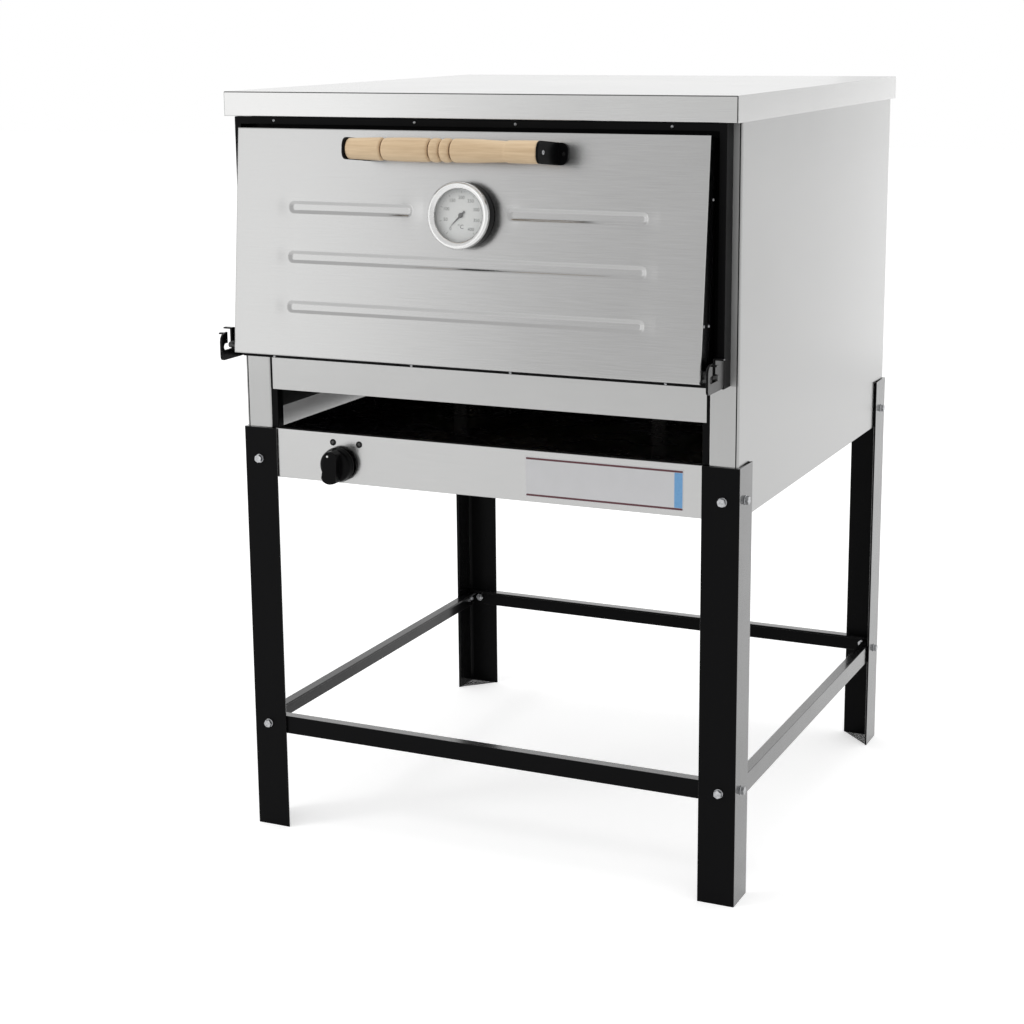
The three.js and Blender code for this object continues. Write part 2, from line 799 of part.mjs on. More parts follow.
// The black frame: a channel round the door, open towards it, with its foot on the columns.
function doorFrame() {
  const back = frontPlane - gap;
  const wallX = frameHalfWidth - frameSheet;
  const lipX = frameHalfWidth - frameLip;
  const footX = frameHalfWidth - frameFoot;
  const lipInner = frameFaceY + frameSheet;
  const footInner = back - frameSheet;
  return cut(
    block(-frameHalfWidth, frameHalfWidth, frameFaceY, back, frameBottom, frameTop),
    block(-wallX, wallX, lipInner, footInner, frameBottom + frameSheet, frameTop - frameSheet),
    block(-lipX, lipX, frameFaceY - overrun, lipInner, frameBottom + frameLip, frameTop - frameLip),
    block(-footX, footX, footInner, back + overrun, frameBottom + frameFoot, frameTop - frameFoot),
  );
}

// Y of the plane that lies behind the door's front face by the given depth, at a height.
function leaningY(depth, z) {
  return doorFootY + depth / Math.cos(doorLean) + (z - doorBottom) * Math.tan(doorLean);
}

// A wedge from behind the columns' face to a plane parallel to the leaning door.
function wedge(depth, back, halfWidth, low, high) {
  return alongX([
    [back, low],
    [back, high],
    [leaningY(depth, high), high],
    [leaningY(depth, low), low],
  ], -halfWidth, halfWidth);
}

// The slanted seat round the oven's mouth, a channel open at its back.
function doorSeat() {
  const depth = doorThickness + seatGap;
  const back = frontPlane - gap;
  const halfWidth = frameHalfWidth - frameFoot - gap;
  const low = frameBottom + frameFoot + gap;
  const high = frameTop - frameFoot - gap;
  const mouthLow = slabTop + mouthSill;
  const mouthHigh = roofBottom - mouthHeadDrop;
  const wallX = chamberHalfWidth + seatSheet;
  const deep = frontPlane + overrun;
  const far = frontPlane - doorFootReach;
  const hollow = cut(
    wedge(depth + seatSheet, deep, halfWidth - seatSheet, low + seatSheet, high - seatSheet),
    block(-wallX, wallX, far, deep + overrun, mouthLow - seatSheet, mouthHigh + seatSheet),
  );
  return cut(
    wedge(depth, back, halfWidth, low, high),
    block(-chamberHalfWidth, chamberHalfWidth, far, deep, mouthLow, mouthHigh),
    hollow,
  );
}

// The right hinge bracket: a plate with an inverted T slot that the pin drops into, a lip bent
// out at each side of the slot's way in, and a foot on the frame's face.
function hingeBracket() {
  const pinHalf = pinRadius + gap;
  const backY = frameFaceY - gap;
  const frontY = pinY - bracketFrontReach;
  const top = pinZ + bracketRise;
  const frontTop = top - bracketFrontDrop;
  const bottom = pinZ - bracketDrop;
  const backTop = pinZ + bracketBackRise;
  const entryFront = pinY - slotStep - slotEntryHalf;
  const entryBack = pinY - slotStep + slotEntryHalf;
  const plate = new THREE.Shape();
  plate.moveTo(backY, bottom + bracketCorner);
  plate.lineTo(backY, backTop);
  plate.lineTo(entryBack + slotLipWidth, top);
  plate.lineTo(entryBack, top);
  plate.lineTo(entryBack, pinZ + pinHalf);
  plate.absarc(pinY, pinZ, pinHalf, Math.PI / 2, -Math.PI / 2, true);
  plate.absarc(pinY - slotFootReach, pinZ, pinHalf, -Math.PI / 2, (-3 * Math.PI) / 2, true);
  plate.lineTo(entryFront, pinZ + pinHalf);
  plate.lineTo(entryFront, frontTop);
  plate.quadraticCurveTo(frontY, frontTop, frontY, frontTop - bracketCrown);
  plate.lineTo(frontY, bottom + bracketCorner);
  plate.quadraticCurveTo(frontY, bottom, frontY + bracketCorner, bottom);
  plate.lineTo(backY - bracketCorner, bottom);
  plate.quadraticCurveTo(backY, bottom, backY, bottom + bracketCorner);
  const lipX = frameHalfWidth - frameLip;
  const middleX = (bracketX + bracketOuterX) / 2;
  const lipLow = top - slotLipSheet;
  const frontLipHigh = frontTop - slotLipSheet / 2;
  const frontLipLow = frontLipHigh - slotLipSheet;
  const frontTip = bracketOuterX + frontLipLength;
  const backTip = bracketOuterX + backLipLength;
  return join(
    shapeAlongX(plate, bracketX, bracketOuterX),
    block(lipX, middleX, backY - bracketSheet, backY, bottom + bracketCorner, backTop),
    block(middleX, frontTip, entryFront - slotLipWidth, entryFront, frontLipLow, frontLipHigh),
    block(middleX, backTip, entryBack, entryBack + slotLipWidth, lipLow, top),
  );
}

function addDoorOpening(oven) {
  addPiece(oven, 'door_frame', doorFrame(), 'blackPaint');
  addPiece(oven, 'door_seat', doorSeat(), 'blackPaint');
  for (const [side, signX] of Object.entries(sides)) {
    addPiece(oven, `hinge_bracket_${side}`, mirrored(hingeBracket(), signX), 'blackPaint');
  }
}

// A bead from lowX to highX: a long flat with round corners and sloping sides.
function bead(lowX, highX, z, faceY) {
  const left = lowX + beadSlope + beadCorner;
  const right = highX - beadSlope - beadCorner;
  const rise = beadHalfWidth - beadSlope - beadCorner;
  const shape = new THREE.Shape();
  shape.absarc(right, z - rise, beadCorner, -Math.PI / 2, 0, false);
  shape.absarc(right, z + rise, beadCorner, 0, Math.PI / 2, false);
  shape.absarc(left, z + rise, beadCorner, Math.PI / 2, Math.PI, false);
  shape.absarc(left, z - rise, beadCorner, Math.PI, (3 * Math.PI) / 2, false);
  const settings = {
    depth: skinSheet,
    bevelThickness: beadRelief,
    bevelSize: beadSlope,
    bevelSegments: 2,
    curveSegments: cornerSteps,
  };
  const pressed = new THREE.ExtrudeGeometry(shape, settings);
  pressed.applyMatrix4(new THREE.Matrix4().makeBasis(axisX, axisZ, outward));
  return pressed.translate(0, faceY + skinSheet, 0);
}

// Every bead of the skin: the first row is split by the thermometer.
function beads(faceY) {
  const firstZ = dialZ + beadRowRise;
  const lowerZs = lowerRowShares.map((share) => share * (dialZ - bezelRadius));
  return [
    bead(beadLeft, -beadInnerReach, firstZ, faceY),
    bead(beadInnerReach, beadRight, firstZ, faceY),
    ...lowerZs.map((z) => bead(beadLeft, beadRight, z, faceY)),
  ];
}

// The door's own pieces have X across, Y into the oven from the skin's face, and Z up the door.
function doorSkin() {
  const innerX = doorHalfWidth - skinSheet;
  const highZ = doorHeight - skinSheet;
  const tray = cut(
    block(-doorHalfWidth, doorHalfWidth, 0, skinReturn, 0, doorHeight),
    block(-innerX, innerX, skinSheet, skinReturn + overrun, skinSheet, highZ),
  );
  const pressed = cut(join(tray, ...beads(0)), ...beads(-skinSheet));
  return cut(pressed, stemHole(stemRadius + gap));
}

function stemHole(radius) {
  return rod(radius, [dialX, -overrun, dialZ], [dialX, doorThickness + overrun, dialZ]);
}

function doorLiner() {
  const low = linerEdge + linerSheet;
  const high = doorHeight - low;
  const innerX = linerHalfWidth - linerSheet;
  const holeRadius = pinRadius + gap;
  const outerX = linerHalfWidth + overrun;
  return cut(
    block(-linerHalfWidth, linerHalfWidth, linerEdge, doorThickness, linerEdge, doorHeight - linerEdge),
    block(-innerX, innerX, linerEdge - overrun, doorThickness - linerSheet, low, high),
    rod(holeRadius, [-outerX, pinDepth, pinRise], [outerX, pinDepth, pinRise]),
    stemHole(stemRadius + gap),
  );
}

function doorInsulation() {
  const halfWidth = linerHalfWidth - linerSheet - doorPadMargin;
  const low = linerEdge + linerSheet + doorPadMargin;
  const high = doorHeight - linerEdge - linerSheet - gap;
  const front = skinSheet + beadRelief + gap;
  const back = doorThickness - linerSheet - gap;
  return cut(block(-halfWidth, halfWidth, front, back, low, high), stemHole(stemRadius + gap));
}

// The right hinge pin: nut inside the liner, collar outside it, and a shank through the bracket.
function hingePin() {
  const nutX = linerHalfWidth - linerSheet - gap;
  const collarX = linerHalfWidth + gap;
  const collarEnd = bracketX - gap;
  const tip = bracketOuterX + pinTail;
  return turned([
    [0, nutX - pinNutLength],
    [pinNutRadius, nutX - pinNutLength],
    [pinNutRadius, nutX],
    [pinRadius, nutX],
    [pinRadius, collarX],
    [pinCollarRadius, collarX],
    [pinCollarRadius, collarEnd],
    [pinRadius, collarEnd],
    [pinRadius, tip - pinChamfer],
    [pinRadius - pinChamfer, tip],
    [0, tip],
  ], axisX, [0, pinDepth, pinRise]);
}

// The turned grip's outline: [share of the length, share of the largest radius].
const gripShares = [
  [0, 0.8], [0.01, 0.86], [0.165, 0.96], [0.178, 0.99], [0.184, 0.86], [0.194, 0.86], [0.2, 0.93],
  [0.31, 0.99], [0.43, 0.98], [0.437, 0.88], [0.447, 0.88], [0.455, 0.97], [0.472, 1], [0.49, 0.97],
  [0.498, 0.86], [0.506, 0.97], [0.524, 1], [0.541, 0.97], [0.549, 0.88], [0.559, 0.88],
  [0.566, 0.96], [0.68, 0.96], [0.8, 0.88], [0.832, 0.86], [0.85, 0.9], [0.99, 0.94], [1, 0.88],
];

function handleGrip() {
  const length = 2 * gripHalfLength;
  const profile = gripShares.map(([along, around]) => [around * gripRadius, along * length]);
  const closed = [[0, 0], ...profile, [0, length]];
  return turned(closed, axisX, [-gripHalfLength, -gripStandoff, gripZ]);
}

// The right handle bracket: a round-nosed plate at the grip's end with a foot on the skin.
function handleBracket() {
  const innerX = gripHalfLength + gap;
  const outerX = innerX + handlePlateSheet;
  const low = gripZ - handlePlateHalfHeight;
  const high = gripZ + handlePlateHalfHeight;
  const nose = new THREE.Shape();
  nose.moveTo(-gap, low);
  nose.lineTo(-gap, high);
  nose.lineTo(-gripStandoff, high);
  nose.absarc(-gripStandoff, gripZ, handlePlateHalfHeight, Math.PI / 2, (3 * Math.PI) / 2, false);
  return join(
    shapeAlongX(nose, innerX, outerX),
    block(innerX, outerX + handleFoot, -gap - handlePlateSheet, -gap, low, high),
  );
}

// The thermometer case with its stem, turned about the axis that points out of the door.
function thermometerCase() {
  const bore = caseRadius - caseWall;
  const pinBore = needlePinRadius + gap;
  const pinBoreFloor = caseFloor / 2;
  return turned([
    [0, -doorThickness - stemReach],
    [stemRadius, -doorThickness - stemReach],
    [stemRadius, gap],
    [caseRadius, gap],
    [caseRadius, caseDepth],
    [bore, caseDepth],
    [bore, caseFloor],
    [pinBore, caseFloor],
    [pinBore, pinBoreFloor],
    [0, pinBoreFloor],
  ], outward, [dialX, 0, dialZ], roundSides);
}

function thermometerBezel() {
  const skirtBore = caseRadius + gap;
  const crown = caseDepth + bezelCrown;
  const seat = caseDepth + gap;
  const shoulder = caseDepth + bezelCrown / 3;
  const band = bezelRadius - bezelOpening;
  return turned([
    [skirtBore, caseDepth - bezelSkirt],
    [bezelRadius, caseDepth - bezelSkirt],
    [bezelRadius, shoulder],
    [bezelRadius - band / 5, crown - bezelCrown / 8],
    [bezelRadius - band / 2, crown],
    [bezelOpening + band / 5, crown - bezelCrown / 5],
    [bezelOpening, shoulder],
    [bezelOpening, seat],
    [skirtBore, seat],
    [skirtBore, caseDepth - bezelSkirt],
  ], outward, [dialX, 0, dialZ], roundSides);
}

function thermometerDial() {
  const low = caseFloor + gap;
  const edge = caseRadius - caseWall - gap;
  const eye = needlePinRadius + gap;
  return turned([
    [eye, low],
    [edge, low],
    [edge, low + dialSheet],
    [eye, low + dialSheet],
    [eye, low],
  ], outward, [dialX, 0, dialZ], roundSides);
}

// The needle stands at the low end of its scale, down to the left.
function thermometerNeedle() {
  const low = caseFloor + gap + dialSheet + gap;
  const high = low + needleSheet;
  const hub = rod(needleHubRadius, [0, -low, 0], [0, -high - needleSheet, 0]);
  const pin = rod(needlePinRadius, [0, -caseFloor / 2 - gap, 0], [0, -high, 0], boltSides);
  const pointer = alongY([
    [-needleHalfWidth, -needleTail],
    [needleHalfWidth, -needleTail],
    [needleHalfWidth, 0],
    [0, needleLength],
    [-needleHalfWidth, 0],
  ], -high, -low);
  const needle = join(hub, pin, pointer);
  return needle.rotateY((-3 * Math.PI) / 4).translate(dialX, 0, dialZ);
}

function thermometerGlass() {
  const high = caseDepth - gap;
  const edge = caseRadius - caseWall - gap;
  return turned([
    [0, high - glassSheet],
    [edge, high - glassSheet],
    [edge, high],
    [0, high],
  ], outward, [dialX, 0, dialZ], roundSides);
}

function thermometerNut() {
  const near = doorThickness + gap;
  const far = near + stemNutHeight;
  const bore = stemRadius + gap;
  return cut(
    rod(stemNutRadius, [dialX, near, dialZ], [dialX, far, dialZ], hexSides),
    rod(bore, [dialX, near - overrun, dialZ], [dialX, far + overrun, dialZ]),
  );
}

function addDoor(oven) {
  const door = new THREE.Group();
  door.position.set(0, doorFootY, doorBottom);
  door.rotation.x = -doorLean;
  oven.add(door);
  addPiece(door, 'door_skin', doorSkin(), 'stainless');
  addPiece(door, 'door_liner', doorLiner(), 'blackPaint');
  addPiece(door, 'door_insulation', doorInsulation(), 'wool');
  addPiece(door, 'handle_grip', handleGrip(), 'wood');
  for (const [side, signX] of Object.entries(sides)) {
    addPiece(door, `hinge_pin_${side}`, mirrored(hingePin(), signX), 'zinc');
    addPiece(door, `handle_bracket_${side}`, mirrored(handleBracket(), signX), 'blackPaint');
  }
  addPiece(door, 'thermometer_case', thermometerCase(), 'blackPaint');
  addPiece(door, 'thermometer_bezel', thermometerBezel(), 'polished');
  addPiece(door, 'thermometer_dial', thermometerDial(), 'dial');
  addPiece(door, 'thermometer_needle', thermometerNeedle(), 'blackPaint');
  addPiece(door, 'thermometer_glass', thermometerGlass(), 'glass');
  addPiece(door, 'thermometer_nut', thermometerNut(), 'zinc');
}

// The valve body behind the burner panel: a neck for the spindle, a chest for the plunger,
// and a side boss that meets the inlet pipe.
function gasValve() {
  const neckBore = spindleRadius + runningClearance;
  const body = turned([
    [neckBore, 0],
    [valveFlangeRadius, 0],
    [valveFlangeRadius, valveFlangeSheet],
    [valveRadius, valveFlangeSheet],
    [valveRadius, valveLength],
    [0, valveLength],
    [0, valveNeck + chestLength],
    [chestRadius, valveNeck + chestLength],
    [chestRadius, valveNeck],
    [neckBore, valveNeck],
    [neckBore, 0],
  ], axisY, [knobX, valveY, knobZ]);
  const bossY = valveEndY - inletBossRadius - gap;
  const bossRoot = knobX - (valveRadius + chestRadius) / 2;
  const bossEnd = knobX - inletOffset + pipeRadius + gap;
  return join(body, rod(inletBossRadius, [bossRoot, bossY, knobZ], [bossEnd, bossY, knobZ]));
}

// The inlet pipe runs to the back, where its hexagon collar bears on the back panel.
function inletPipe() {
  const x = knobX - inletOffset;
  const start = chestY;
  const end = casingHalfDepth + pipeReach;
  const collarY = backPanelY + gap;
  const pipe = join(
    rod(pipeRadius, [x, start, knobZ], [x, end, knobZ]),
    rod(pipeCollarRadius, [x, collarY, knobZ], [x, collarY + pipeCollarLength, knobZ], hexSides),
  );
  const wall = pipeRadius - pipeBore;
  return cut(pipe, rod(pipeBore, [x, start + wall, knobZ], [x, end + overrun, knobZ]));
}

// The burner: two tubes and a cross tube on feet, and the feed tube that rises through the shield.
function burner() {
  const feedStart = valveEndY + gap;
  const bendY = feedY - feedBend;
  const bend = new THREE.QuadraticBezierCurve3(
    new THREE.Vector3(knobX, bendY, knobZ),
    new THREE.Vector3(knobX, feedY, knobZ),
    new THREE.Vector3(knobX, feedY, knobZ + feedBend),
  );
  const section = new THREE.Shape();
  section.absarc(0, 0, feedRadius, 0, 2 * Math.PI, false);
  const bendSettings = { steps: bendSteps, extrudePath: bend, curveSegments: pipeSides / 2 };
  const halfFoot = burnerFootHalfWidth;
  const tubes = [
    rod(feedRadius, [knobX, feedStart, knobZ], [knobX, bendY + gap, knobZ]),
    new THREE.ExtrudeGeometry(section, bendSettings),
    rod(feedRadius, [knobX, feedY, knobZ + feedBend - gap], [knobX, feedY, burnerZ]),
    rod(burnerRadius, [knobX - burnerRadius, feedY, burnerZ], [burnerHalfSpacing, feedY, burnerZ]),
  ];
  for (const sign of Object.values(sides)) {
    const x = sign * burnerHalfSpacing;
    tubes.push(rod(burnerRadius, [x, burnerFront, burnerZ], [x, burnerBack, burnerZ]));
    for (const y of [burnerFront + burnerFootInset, burnerBack - burnerFootInset]) {
      tubes.push(block(x - halfFoot, x + halfFoot, y, y + burnerFootSheet, shieldTop + gap, burnerZ));
    }
  }
  return join(...tubes);
}

// The knob: a skirt, a round body and a bar grip, bored from behind for the spindle.
function controlKnob() {
  const body = turned([
    [0, knobStandoff],
    [knobRadius, knobStandoff],
    [knobRadius, knobStandoff + knobSkirt / 2],
    [knobBodyRadius, knobStandoff + knobSkirt],
    [knobBodyRadius, knobStandoff + knobBodyHeight],
    [0, knobStandoff + knobBodyHeight],
  ], outward, [0, 0, 0]);
  const gripLow = -knobStandoff - knobSkirt / 2;
  const gripHigh = -knobStandoff - knobGripHeight;
  const reach = knobBodyRadius;
  const barShape = alongY([
    [-knobGripHalfWidth, -reach],
    [knobGripHalfWidth, -reach],
    [knobGripHalfWidth, reach],
    [0, knobRadius],
    [-knobGripHalfWidth, reach],
  ], gripHigh, gripLow);
  const boreRadius = spindleRadius + runningClearance;
  const bore = rod(boreRadius, [0, -knobStandoff + overrun, 0], [0, -knobStandoff - knobBore, 0]);
  const knob = cut(join(body, barShape), bore);
  return knob.rotateY(-Math.PI / 6).translate(knobX, frontPlane, knobZ);
}

function addGasTrain(oven) {
  const spindleTip = frontPlane - knobStandoff - knobBore + gap;
  const spindleEnd = chestY + spindleEntry;
  const plungerY = spindleEnd + gap;
  const spindle = rod(spindleRadius, [knobX, spindleTip, knobZ], [knobX, spindleEnd, knobZ]);
  const plunger = rod(chestRadius - runningClearance, [knobX, plungerY, knobZ],
    [knobX, plungerY + plungerLength, knobZ]);
  addPiece(oven, 'gas_valve', gasValve(), 'brass');
  addPiece(oven, 'valve_plunger', plunger, 'brass');
  addPiece(oven, 'valve_spindle', spindle, 'zinc');
  addPiece(oven, 'control_knob', controlKnob(), 'blackPlastic');
  addPiece(oven, 'gas_inlet_pipe', inletPipe(), 'zinc');
  addPiece(oven, 'burner', burner(), 'castIron');
}

const oven = new THREE.Group();
addStand(oven);
addCasing(oven);
addFloor(oven);
addChamber(oven);
addDoorOpening(oven);
addDoor(oven);
addGasTrain(oven);

// The origin is on the ground under the middle of the whole object, from grip to inlet pipe.
const extent = new THREE.Box3().setFromObject(oven, true);
oven.position.y = -(extent.min.y + extent.max.y) / 2;

const group = new THREE.Group();
group.add(oven);

export default group;
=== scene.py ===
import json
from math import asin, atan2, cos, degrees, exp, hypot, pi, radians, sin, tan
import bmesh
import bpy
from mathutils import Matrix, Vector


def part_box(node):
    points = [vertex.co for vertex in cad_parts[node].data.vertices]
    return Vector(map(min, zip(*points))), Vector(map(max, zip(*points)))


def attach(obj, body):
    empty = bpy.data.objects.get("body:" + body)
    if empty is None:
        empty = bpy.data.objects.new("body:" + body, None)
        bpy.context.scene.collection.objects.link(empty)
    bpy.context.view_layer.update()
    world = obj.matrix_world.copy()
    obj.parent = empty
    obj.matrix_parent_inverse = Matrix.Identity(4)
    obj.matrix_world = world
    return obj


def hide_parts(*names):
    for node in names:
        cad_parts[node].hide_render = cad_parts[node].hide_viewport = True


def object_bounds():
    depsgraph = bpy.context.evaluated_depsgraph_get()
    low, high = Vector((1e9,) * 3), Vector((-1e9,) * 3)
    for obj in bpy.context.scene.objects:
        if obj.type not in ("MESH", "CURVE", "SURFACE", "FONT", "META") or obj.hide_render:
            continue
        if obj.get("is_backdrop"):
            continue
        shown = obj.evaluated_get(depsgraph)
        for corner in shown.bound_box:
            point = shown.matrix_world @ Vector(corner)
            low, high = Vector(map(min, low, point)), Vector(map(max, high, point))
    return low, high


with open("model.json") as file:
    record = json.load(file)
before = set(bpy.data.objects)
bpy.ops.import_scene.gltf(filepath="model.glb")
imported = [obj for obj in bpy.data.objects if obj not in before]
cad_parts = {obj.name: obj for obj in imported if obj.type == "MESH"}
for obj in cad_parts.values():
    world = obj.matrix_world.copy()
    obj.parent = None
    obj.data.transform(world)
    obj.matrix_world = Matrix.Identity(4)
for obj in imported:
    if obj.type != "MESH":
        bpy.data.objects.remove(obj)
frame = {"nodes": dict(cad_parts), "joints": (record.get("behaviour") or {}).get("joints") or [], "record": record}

# %% [markdown]
# # A gas pizza oven on four angle legs
#
# This lesson dresses an oven of folded stainless sheet. Its solids come from the packed
# model, so every size and place is already right. What is added here is what the eye reads
# as real: rounded folds, brushed grain, turned wood, small screws and the numbers on a dial.
# The oven's front faces -Y, X runs to the right and Z runs up, all in metres.

frame_low, frame_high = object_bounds()
MM = 0.001
SIDES = {"left": -1, "right": 1}


def in_scene(name, data):
    """A new object, linked to the scene."""
    made = bpy.data.objects.new(name, data)
    bpy.context.scene.collection.objects.link(made)
    return made


def as_data(name, mesh):
    """A bmesh as mesh data for an object."""
    data = bpy.data.meshes.new(name)
    mesh.to_mesh(data)
    mesh.free()
    return data


def box_mm(node):
    """The low and the high corner of a node's box, in millimetres."""
    return [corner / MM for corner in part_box(node)]


print("oven box in mm:", [round(v / MM) for v in frame_high - frame_low])

# %% [markdown]
# ## The camera
#
# The photograph was taken a little to the right of the door and slightly above the cover,
# with a longish lens, so the lines that run to the back shorten only gently. The camera is
# set from measured angles. It looks down a little, which draws the legs together towards
# the floor, and a small shift of the lens holds that back.

# %% Camera
CAMERA_PLACE = (1.1045, -2.5785, 1.1064)
CAMERA_YAW = 24.93
CAMERA_PITCH = 12.149
CAMERA_ROLL = -0.53
CAMERA_LENS = 71.19
CAMERA_SENSOR = 36
CAMERA_SHIFT = -0.06
camera = in_scene("camera", bpy.data.cameras.new("camera"))
turn = Matrix.Rotation(radians(CAMERA_YAW), 4, "Z")
tilt = Matrix.Rotation(radians(90 - CAMERA_PITCH), 4, "X")
roll = Matrix.Rotation(radians(CAMERA_ROLL), 4, "Z")
camera.matrix_world = Matrix.Translation(CAMERA_PLACE) @ turn @ tilt @ roll
camera.data.lens = CAMERA_LENS
camera.data.sensor_width = CAMERA_SENSOR
camera.data.sensor_fit = "HORIZONTAL"
camera.data.shift_y = CAMERA_SHIFT
bpy.context.scene.camera = camera
bpy.context.scene.view_settings.view_transform = "Standard"
oven_middle = (frame_low + frame_high) / 2
print("camera is", round((Vector(CAMERA_PLACE) - oven_middle).length, 2), "m from the oven's middle")

# %% [markdown]
# ## Studio light and floor
#
# Polished sheet shows whatever stands round it, so a white studio is most of the finish.
# The world is white to the camera and in reflections, and dimmer as plain light. Two soft
# lamps stand where the left half of the door mirrors them, so the door fades from bright to
# grey. Two more behind the oven are mirrored by the side panel and the cover's lip, three
# stand where the right side, the back and the left side mirror them, and one hangs over the
# cover. In a mirror a lamp adds to the white behind it, so all of these are weak. A small key
# lamp gives the wood and the floor their shadows and is kept out of the mirrors, where it
# would burn out. The floor glows a little to the camera, so that it stays pale and still
# holds the oven's shadow.

# %% Helpers for shader nodes
def socket(shader, name):
    return next(s for s in shader.inputs if s.name == name and s.enabled)


def empty_tree(owner):
    """The node tree of a material or world, with nothing in it."""
    owner.use_nodes = True
    owner.node_tree.nodes.clear()
    return owner.node_tree


def add_node(tree, kind, **values):
    """Adds a shader node; a value may be a number, a colour or another node's output."""
    made = tree.nodes.new("ShaderNode" + kind)
    for name, value in values.items():
        label = name.replace("_", " ")
        if hasattr(made, name):
            setattr(made, name, value)
        elif isinstance(value, bpy.types.NodeSocket):
            tree.links.new(value, socket(made, label))
        else:
            socket(made, label).default_value = value
    return made


def math_node(tree, operation, first, second=0.0):
    made = tree.nodes.new("ShaderNodeMath")
    made.operation = operation
    for socket_in, value in zip(made.inputs, (first, second)):
        if isinstance(value, bpy.types.NodeSocket):
            tree.links.new(value, socket_in)
        else:
            socket_in.default_value = value
    return made.outputs[0]


print("shader helpers ready")

# %% World and lamps
WORLD_LIGHT = 0.76
bpy.context.scene.world = bpy.data.worlds.new("studio")
sky = empty_tree(bpy.context.scene.world)
ray = add_node(sky, "LightPath")
seen = math_node(sky, "MAXIMUM", ray.outputs["Is Camera Ray"], ray.outputs["Is Glossy Ray"])
seen = math_node(sky, "MAXIMUM", seen, ray.outputs["Is Transmission Ray"])
strength = math_node(sky, "MULTIPLY_ADD", seen, 1 - WORLD_LIGHT)
strength.node.inputs[2].default_value = WORLD_LIGHT
light = add_node(sky, "Background", Color=(1, 1, 1, 1), Strength=strength)
sky.links.new(light.outputs[0], add_node(sky, "OutputWorld").inputs["Surface"])


def softbox(name, place, aim, width, height, watts):
    data = bpy.data.lights.new(name, "AREA")
    data.shape = "RECTANGLE"
    data.size, data.size_y, data.energy = width, height, watts
    lamp = in_scene(name, data)
    lamp.location = place
    lamp.rotation_euler = (Vector(aim) - Vector(place)).to_track_quat("-Z", "Y").to_euler()
    lamp.visible_camera = False
    return lamp


# place, aim, width, height, watts
LAMPS = {
    "left_softbox": ((-2.84, -3.02, 1.08), (0, -0.3, 0.9), 2.4, 1.9, 6.9),
    "front_softbox": ((-2.14, -3.6, 1.08), (0, -0.3, 0.9), 1.1, 1.9, 3.2),
    "key_lamp": ((-2.3, -2.2, 2.6), (0, -0.3, 0.7), 0.8, 0.8, 22),
    "side_panel_softbox": ((0.42, 3.4, 0.85), (0.42, 0.3, 0.7), 1.4, 1.6, 5.5),
    "cover_softbox": ((-1.6, 3.4, 1.7), (0, 0, 1.0), 2.0, 1.3, 1.6),
    "right_softbox": ((3.5, -0.4, 0.9), (0, 0, 0.7), 1.2, 1.8, 3.4),
    "back_right_softbox": ((2.9, 2.9, 0.9), (0, 0.3, 0.7), 1.2, 1.8, 3.4),
    "back_left_softbox": ((-3.1, 2.4, 0.9), (0, 0.3, 0.7), 1.2, 1.8, 3.4),
    "top_softbox": ((0.2, 0.3, 3.2), (0, 0, 0.9), 4.2, 3.6, 15),
}
lamps = {name: softbox(name, *setup) for name, setup in LAMPS.items()}
lamps["key_lamp"].visible_glossy = False
print("lamps:", list(lamps))

# %% Floor
FLOOR_HALF = 14
FLOOR_GREY = 0.8
FLOOR_GLOW = 0.5
floor_mesh = bmesh.new()
bmesh.ops.create_grid(floor_mesh, x_segments=8, y_segments=8, size=FLOOR_HALF)
floor = in_scene("floor", as_data("floor", floor_mesh))
floor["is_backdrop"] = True
paint = bpy.data.materials.new("pale_floor")
tree = empty_tree(paint)
ray = add_node(tree, "LightPath")
seen = math_node(tree, "MAXIMUM", ray.outputs["Is Camera Ray"], ray.outputs["Is Glossy Ray"])
glow = add_node(tree, "Emission", Color=(1, 1, 1, 1), Strength=math_node(tree, "MULTIPLY", seen, FLOOR_GLOW))
matt_paint = add_node(tree, "BsdfDiffuse", Color=(FLOOR_GREY, FLOOR_GREY, FLOOR_GREY, 1))
both = add_node(tree, "AddShader")
for layer, slot_in in ((glow, both.inputs[0]), (matt_paint, both.inputs[1])):
    tree.links.new(layer.outputs[0], slot_in)
tree.links.new(both.outputs[0], add_node(tree, "OutputMaterial").inputs["Surface"])
floor.data.materials.append(paint)
print("floor is", round(floor.dimensions.x), "m wide")

# %% [markdown]
# ## Finishes
#
# Every finish is worked out from the place on the piece, in metres, so the grain keeps its
# real size and needs no pictures. Each one starts the same way: a shader, its output, and
# the piece's own coordinates.

# %% Helpers for finishes
NOISE_LOW, NOISE_HIGH = 0.3, 0.7
EDGE_GAIN = 6.0
finishes = {}


def start_finish(name, **values):
    made = bpy.data.materials.new(name)
    tree = empty_tree(made)
    shader = add_node(tree, "BsdfPrincipled", **values)
    tree.links.new(shader.outputs[0], add_node(tree, "OutputMaterial").inputs["Surface"])
    return made, tree, shader, add_node(tree, "TexCoord").outputs["Object"]


def noise(tree, coords, scale, detail, stretch=(1, 1, 1)):
    mapped = add_node(tree, "Mapping", Vector=coords, Scale=stretch)
    made = add_node(tree, "TexNoise", Vector=mapped.outputs[0], Scale=scale, Detail=detail)
    return made.outputs["Fac"]


def weighted(tree, *pairs):
    """Several noises added up, each with its own share."""
    first, *rest = [math_node(tree, "MULTIPLY", value, share) for value, share in pairs]
    for part in rest:
        first = math_node(tree, "ADD", first, part)
    return first


